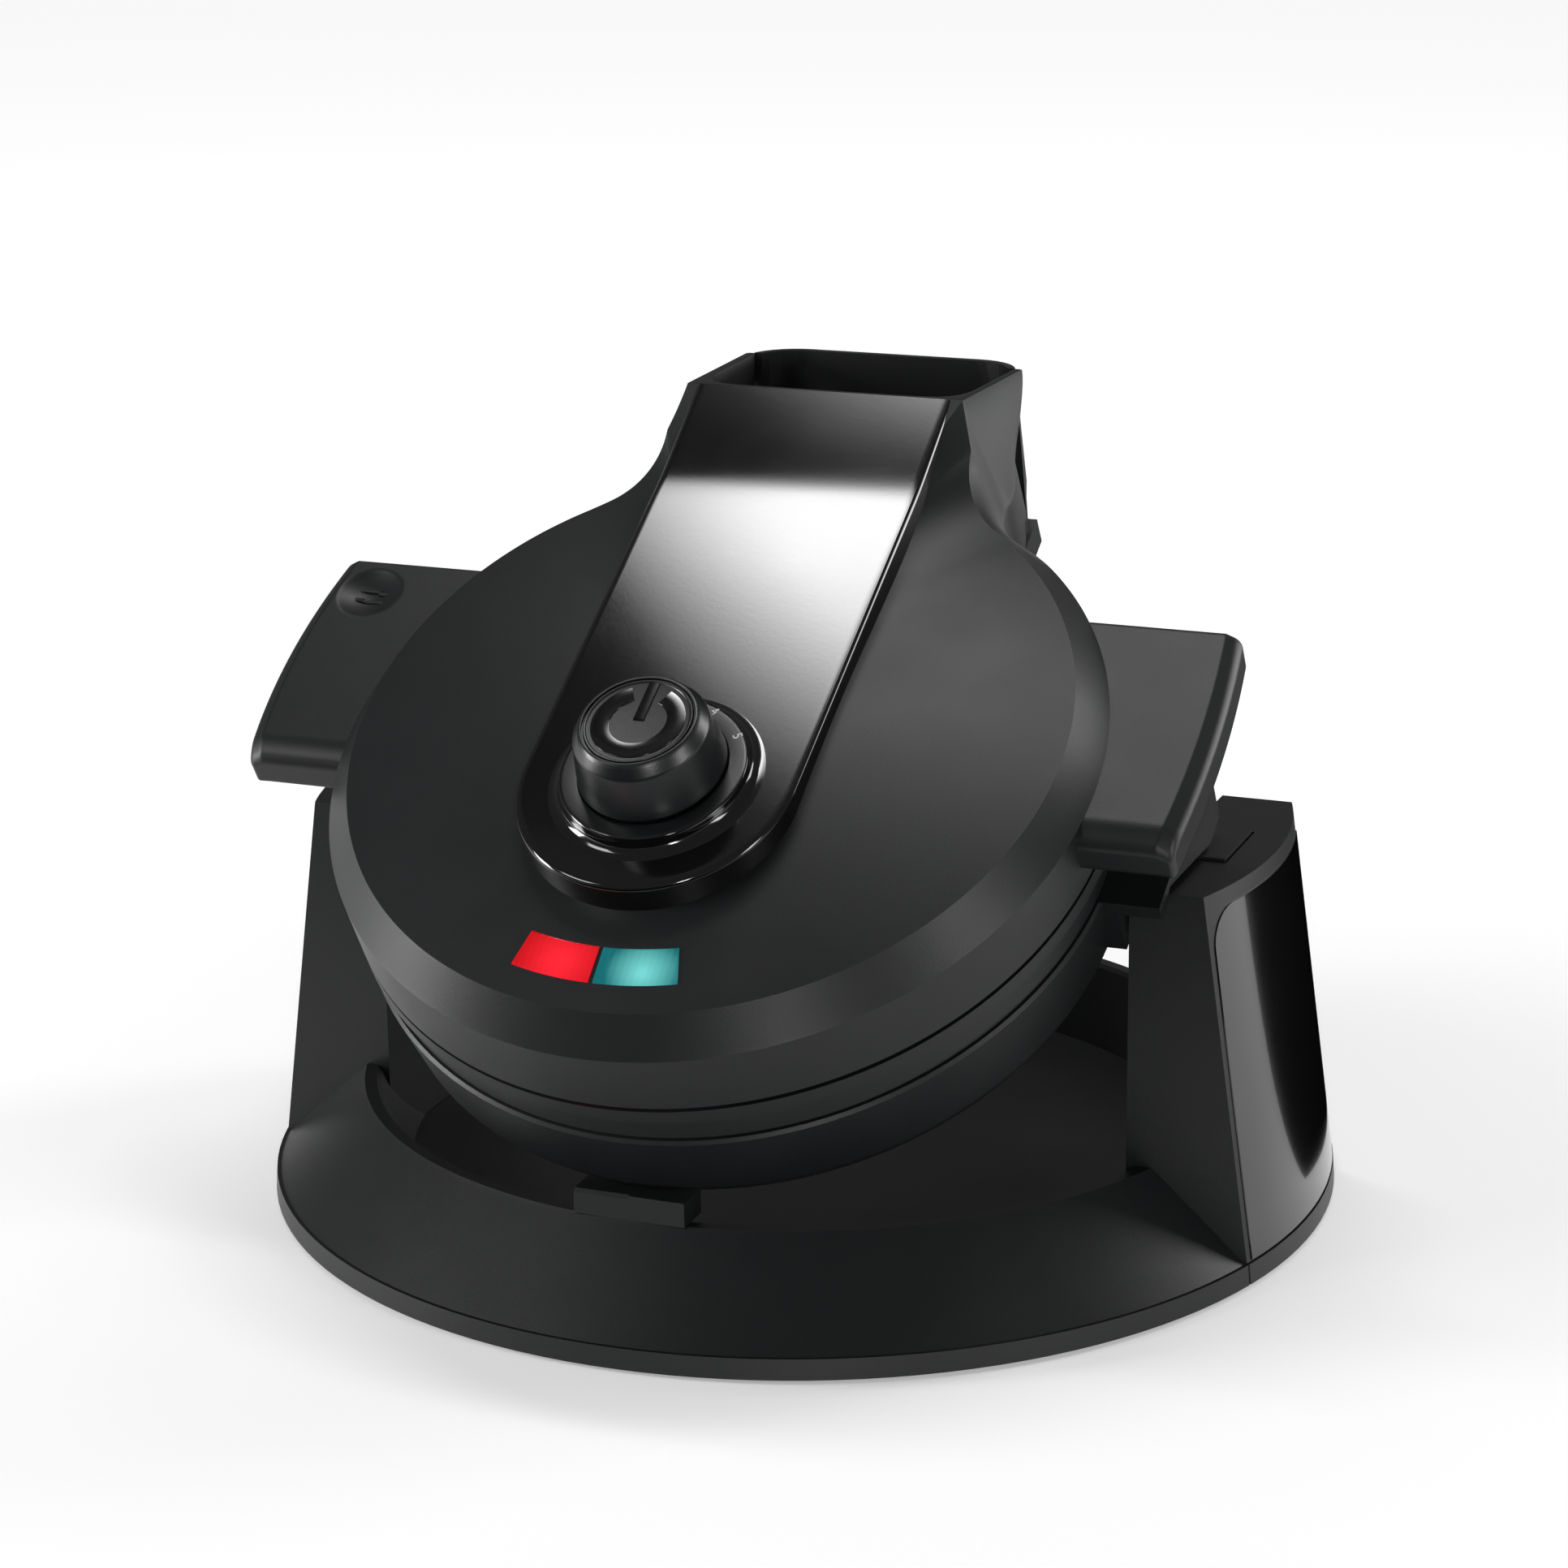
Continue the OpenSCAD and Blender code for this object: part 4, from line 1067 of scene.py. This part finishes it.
@dataclass
class Handle:
    """A side handle of the lid: a flat rounded slab with a bowed, chamfered outer edge."""

    frame: BodyFrame
    side: int = 1
    root_r: float = 96.6
    outer_u: float = 122.6
    bow: float = 2.0
    front_v: float = -15.6
    back_v: float = 55.6
    top_w: float = -9.0
    under_w: float = -21.0
    soft: float = 2.0
    dimple: bool = False
    dimple_at: tuple[float, float] = (113.0, 43.4)
    dimple_r: float = 8.8
    dimple_d: float = 2.2
    chamfer_l: float = 4.0
    chamfer_d: float = 2.4
    roll_l: float = 7.0
    roll_d: float = 3.0
    top_points: int = 84
    side_points: int = 24
    mark_gap: float = 1.9

    def shape(self, cube: np.ndarray) -> np.ndarray:
        """Maps a unit cube's skin to the handle.

        The cube's points are pulled to a rounded box. Its inner end then follows the lid's wall
        and its outer end bows. The top sinks along the outer chamfer, along the rolled front
        edge, and in the dimple by one minus the square of the share of the dimple's radius.

        Args:
            cube: Points with each part between -1 and 1.

        Returns:
            Body-frame points.
        """
        length_v = self.back_v - self.front_v
        size = np.array([20.0, length_v / 2.0, (self.top_w - self.under_w) / 2.0])
        q = cube * size
        core = np.clip(q, -size + self.soft, size - self.soft)
        way = q - core
        length = np.maximum(np.linalg.norm(way, axis=-1, keepdims=True), 1e-9)
        q = np.where(length > 1e-6, core + way / length * self.soft, q)
        mid = (self.front_v + self.back_v) / 2.0
        v = q[..., 1] + mid
        rise = (q[..., 2] + size[2]) / (2.0 * size[2])
        root = np.sqrt(self.root_r**2 - v**2)
        outer = self.outer_u - self.bow * ((v - mid) / (self.back_v - mid)) ** 2
        out = (q[..., 0] + size[0]) / (2.0 * size[0])
        u = root + out * (outer - root)
        edge = self.chamfer_l
        chamfer = np.clip((u - (outer - edge)) / edge, 0.0, 1.0) * self.chamfer_d
        lead = (self.front_v + self.roll_l - v) / self.roll_l
        roll = np.clip(lead, 0.0, 1.0) ** 2 * self.roll_d
        w = self.under_w + rise * (self.top_w - self.under_w) - (chamfer + roll) * rise
        if self.dimple:
            d = np.hypot(u - self.dimple_at[0], v - self.dimple_at[1]) / self.dimple_r
            w = np.where((rise > 0.9) & (d < 1.0), w - self.dimple_d * (1.0 - d**2), w)
        return np.stack([u * self.side, v, w], -1)

    def build(self, finishes: Finishes) -> None:
        """Builds the handle and dresses it.

        Args:
            finishes: The machine's finishes.
        """
        sheets = Sheets()
        even = np.linspace(-1, 1, self.top_points)
        across = np.sin(even * math.pi / 2)
        up = np.sin(np.linspace(-1, 1, self.side_points) * math.pi / 2)
        middle = np.linspace(-0.96, 0.96, self.top_points)
        along = np.sort(np.unique(np.concatenate([across, middle])))
        flip = self.side > 0
        for x, y, axis in ((across, along, 2), (along, up, 0), (across, up, 1)):
            for level in (1.0, -1.0):
                turned = flip if (level > 0) == (axis == 1) else not flip
                sheets.grid(self.shape(cube_face(x, y, axis, level)), flip=turned)
        name = "left_handle" if self.side < 0 else "right_handle"
        piece = sheets.piece(f"{name}_skin", self.frame, 40.0)
        dress(piece, finishes.satin, Body.LID, Slot.SATIN, name)
        if self.dimple:
            self.marks(finishes)

    def marks(self, finishes: Finishes) -> None:
        """Two small raised bars with half heads in the thumb dimple, one pointing each way."""
        sheets = Sheets()
        middle_u, middle_v = self.dimple_at
        base_w = self.top_w - 2.1
        for row, way in ((-self.mark_gap, 1), (self.mark_gap, -1)):
            for u0, u1, v0, v1 in ((-4.6, 4.6, -0.35, 0.35), (1.8 * way, 4.6 * way, -0.35, 1.1)):
                lo, hi = min(u0, u1), max(u0, u1)
                us = np.array([lo, lo, hi, hi]) + middle_u
                ws = np.array([-0.6, 0.45, 0.45, -0.6]) + base_w
                vs = np.array([v0, v1]) * way + middle_v + row
                grid = np.stack([np.stack([us * self.side, np.full(4, v), ws], 1) for v in vs])
                sheets.grid(grid)
        piece = sheets.piece("thumb_mark", self.frame, 30.0)
        dress(piece, finishes.satin, Body.LID, Slot.SATIN)


@dataclass
class LeftHandle(Handle):
    """The left handle: it reaches further out and has a thumb dimple."""

    side: int = -1
    outer_u: float = 128.2
    bow: float = 3.4
    dimple: bool = True


# ---------------------------------------- stage


@dataclass(frozen=True)
class SoftBox:
    """A soft rectangular light; its places are in metres and its power in watts."""

    name: str
    place: tuple[float, float, float]
    size: tuple[float, float]
    power: float

    def build(self, target: Sequence[float]) -> None:
        """Adds the light.

        Args:
            target: What it points at.
        """
        data = bpy.data.lights.new(self.name, "AREA")
        data.shape = "RECTANGLE"
        data.size, data.size_y = self.size
        data.energy = self.power
        lamp = place_data(self.name, data)
        lamp.location = self.place
        way = Vector(target) - Vector(self.place)
        lamp.rotation_euler = way.to_track_quat("-Z", "Y").to_euler()


@dataclass
class Studio:
    """Floor, camera and soft lights, in metres and degrees."""

    camera_at: tuple[float, float, float] = (0.3701, -0.9428, 0.4095)
    azimuth: float = 21.68
    elevation: float = 16.70
    roll: float = -0.71
    lens: float = 92.893
    floor_size: float = 30.0
    floor_grey: float = 0.86
    # painted light: the floor's glow near the middle and far off
    floor_glow: tuple[float, float] = (0.3, 0.8)
    floor_fade_at: float = 0.2
    floor_fade_rate: float = 0.7
    overhead_glow: float = 14.0
    overhead_x: tuple[float, float] = (-0.62, 0.30)
    overhead_y: tuple[float, float] = (0.05, 0.29)
    overhead_z: float = 1.25
    left_fade_x: float = 0.49
    left_fade_y: float = 0.16
    front_fade_y: float = 0.07
    fade_rate_x: float = 7.5
    fade_rate_y: float = 7.0
    # painted shade: outlines of black sheets that only show in reflections
    mat_z: float = 0.0005
    front_mat: tuple[tuple[float, float], ...] = (
        (-2.5, -5.0), (2.5, -5.0), (1.6, -0.22), (-0.5, -0.22),
    )
    right_mat: tuple[tuple[float, float], ...] = (
        (0.16, 0.04), (0.95, 0.9), (-0.3, 1.3), (0.08, 0.15),
    )
    aim: tuple[float, float, float] = (0.0, -0.02, 0.1)
    boxes: tuple[SoftBox, ...] = (
        SoftBox("left_box", (-1.3, -0.6, 0.3), (0.3, 0.6), 13.0),
        SoftBox("left_high_box", (-0.9, -1.0, 0.9), (0.4, 0.4), 4.0),
        SoftBox("right_front_box", (1.3, -0.5, 0.35), (0.25, 0.6), 5.0),
        SoftBox("front_low_box", (0.62, -1.5, 0.2), (0.2, 0.3), 4.5),
        SoftBox("back_right_box", (1.1, 1.0, 0.5), (0.5, 0.9), 10.0),
    )
    world_glow: float = 0.14

    def camera(self) -> None:
        """Sets the camera at its place, turned by azimuth, elevation and roll."""
        az, el, ro = (math.radians(x) for x in (self.azimuth, self.elevation, self.roll))
        back = Vector((math.sin(az) * math.cos(el), -math.cos(az) * math.cos(el), math.sin(el)))
        right = Vector((math.cos(az), math.sin(az), 0.0))
        up = back.cross(right)
        x = right * math.cos(ro) + up * math.sin(ro)
        y = right * -math.sin(ro) + up * math.cos(ro)
        data = bpy.data.cameras.new("camera")
        data.lens = self.lens
        data.sensor_width = 36.0
        data.clip_end = 100.0
        eye = place_data("camera", data)
        turn = Matrix((x, y, back)).transposed().to_4x4()
        eye.matrix_world = Matrix.Translation(Vector(self.camera_at)) @ turn
        bpy.context.scene.camera = eye

    def floor(self) -> None:
        """Lays the pale floor, with painted light: its glow grows from dim near the middle to
        bright far off.
        """
        h = self.floor_size / 2
        mesh = bpy.data.meshes.new("floor")
        mesh.from_pydata([(-h, -h, 0), (h, -h, 0), (h, h, 0), (-h, h, 0)], [], [(0, 1, 2, 3)])
        floor = place_data("floor", mesh)
        graph = Graph("pale_floor")
        reach = graph.make(
            "ShaderNodeVectorMath", {"operation": "LENGTH"}, {0: graph.place()}, "Value"
        )
        # painted light: the glow brightens the floor with the distance from the middle
        far = ((reach - self.floor_fade_at) * self.floor_fade_rate).clamped()
        near_painted_glow, far_painted_glow = self.floor_glow
        graph.feed(
            Base_Color=(self.floor_grey,) * 3,
            Roughness=0.9,
            Specular_IOR_Level=0.1,
            Emission_Color=graph.mix(far, (near_painted_glow,) * 3, (far_painted_glow,) * 3),
            Emission_Strength=1.0,
        )
        mesh.materials.append(graph.material)

    def overhead(self) -> None:
        """Hangs the large soft box whose glow fades towards its left and front edges."""
        (x0, x1), (y0, y1), z = self.overhead_x, self.overhead_y, self.overhead_z
        mesh = bpy.data.meshes.new("overhead_box")
        mesh.from_pydata(
            [(x0, y0, z), (x1, y0, z), (x1, y1, z), (x0, y1, z)], [], [(0, 3, 2, 1)]
        )
        box = place_data("overhead_box", mesh)
        graph = Graph("overhead_glow")
        across = graph.make("ShaderNodeSeparateXYZ", {}, {0: graph.place()})
        along = Wire(graph, across.socket.node.outputs[1])
        slant = (across + self.left_fade_x) * self.fade_rate_x
        slant = (slant + (along - self.left_fade_y) * self.fade_rate_y).clamped()
        glow = slant * ((along - self.front_fade_y) * self.fade_rate_y).clamped()
        graph.feed(
            Base_Color=(0.0, 0.0, 0.0),
            Emission_Color=graph.mix(glow, (0.0, 0.0, 0.0), (1.0, 1.0, 1.0)),
            Emission_Strength=self.overhead_glow,
        )
        mesh.materials.append(graph.material)
        box.visible_camera = False

    def dark_mats(self) -> None:
        """Lays black sheets on the floor in front and behind on the right as painted shade in
        reflections: hidden from the camera, diffuse light and shadows, they only darken what glossy
        surfaces reflect.
        """
        graph = Graph("reflection_shade_black")
        graph.feed(Base_Color=(0.0, 0.0, 0.0), Roughness=1.0, Specular_IOR_Level=0.0)
        for name, outline in (("front_mat", self.front_mat), ("right_mat", self.right_mat)):
            mesh = bpy.data.meshes.new(name)
            mesh.from_pydata([(x, y, self.mat_z) for x, y in outline], [], [(0, 1, 2, 3)])
            shade_sheet = place_data(name, mesh)
            mesh.materials.append(graph.material)
            # painted shade: hidden from the camera, diffuse light and shadows, the sheets only
            # darken reflections
            shade_sheet.visible_camera = False
            shade_sheet.visible_diffuse = False
            shade_sheet.visible_shadow = False

    def build(self) -> None:
        """Sets the whole studio up."""
        self.camera()
        self.floor()
        self.overhead()
        self.dark_mats()
        for box in self.boxes:
            box.build(self.aim)
        world = bpy.data.worlds.new("studio")
        bpy.context.scene.world = world
        world.use_nodes = True
        sky = world.node_tree.nodes["Background"]
        sky.inputs["Color"].default_value = (1.0, 1.0, 1.0, 1.0)
        sky.inputs["Strength"].default_value = self.world_glow
        bpy.context.scene.view_settings.view_transform = "Standard"


def dress_frame(frame: dict[str, Any], finishes: Finishes) -> None:
    """Gives each CAD node the finish of its slot.

    Args:
        finishes: The machine's finishes.
    """
    slots = {row["node"]: row["material_slot"] for row in frame["record"]["subparts"]}
    special = {"spout_funnel": finishes.inner, "spout_back": finishes.satin}
    for name, node in frame["nodes"].items():
        node.data.materials.clear()
        node.data.materials.append(special.get(name, finishes.of_slot(slots[name])))
        log.info("CAD node %s wears %s", name, slots[name])


def main(frame: dict[str, Any]) -> None:
    """Builds and dresses every piece in order.
    """
    logging.basicConfig(level=logging.INFO, format="%(message)s")
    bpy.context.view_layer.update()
    body = BodyFrame()
    finishes = Finishes(body)
    dress_frame(frame, finishes)
    Lid(body).build(finishes)
    ControlStrip(body).build(finishes)
    dial = Dial(body)
    dial.collar(finishes)
    dial.digits(finishes)
    dial.knob(finishes)
    dial.cap(finishes)
    LeftHandle(body).build(finishes)
    Handle(body).build(finishes)
    Studio().build()


if __name__ == "__main__":
    main(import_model())
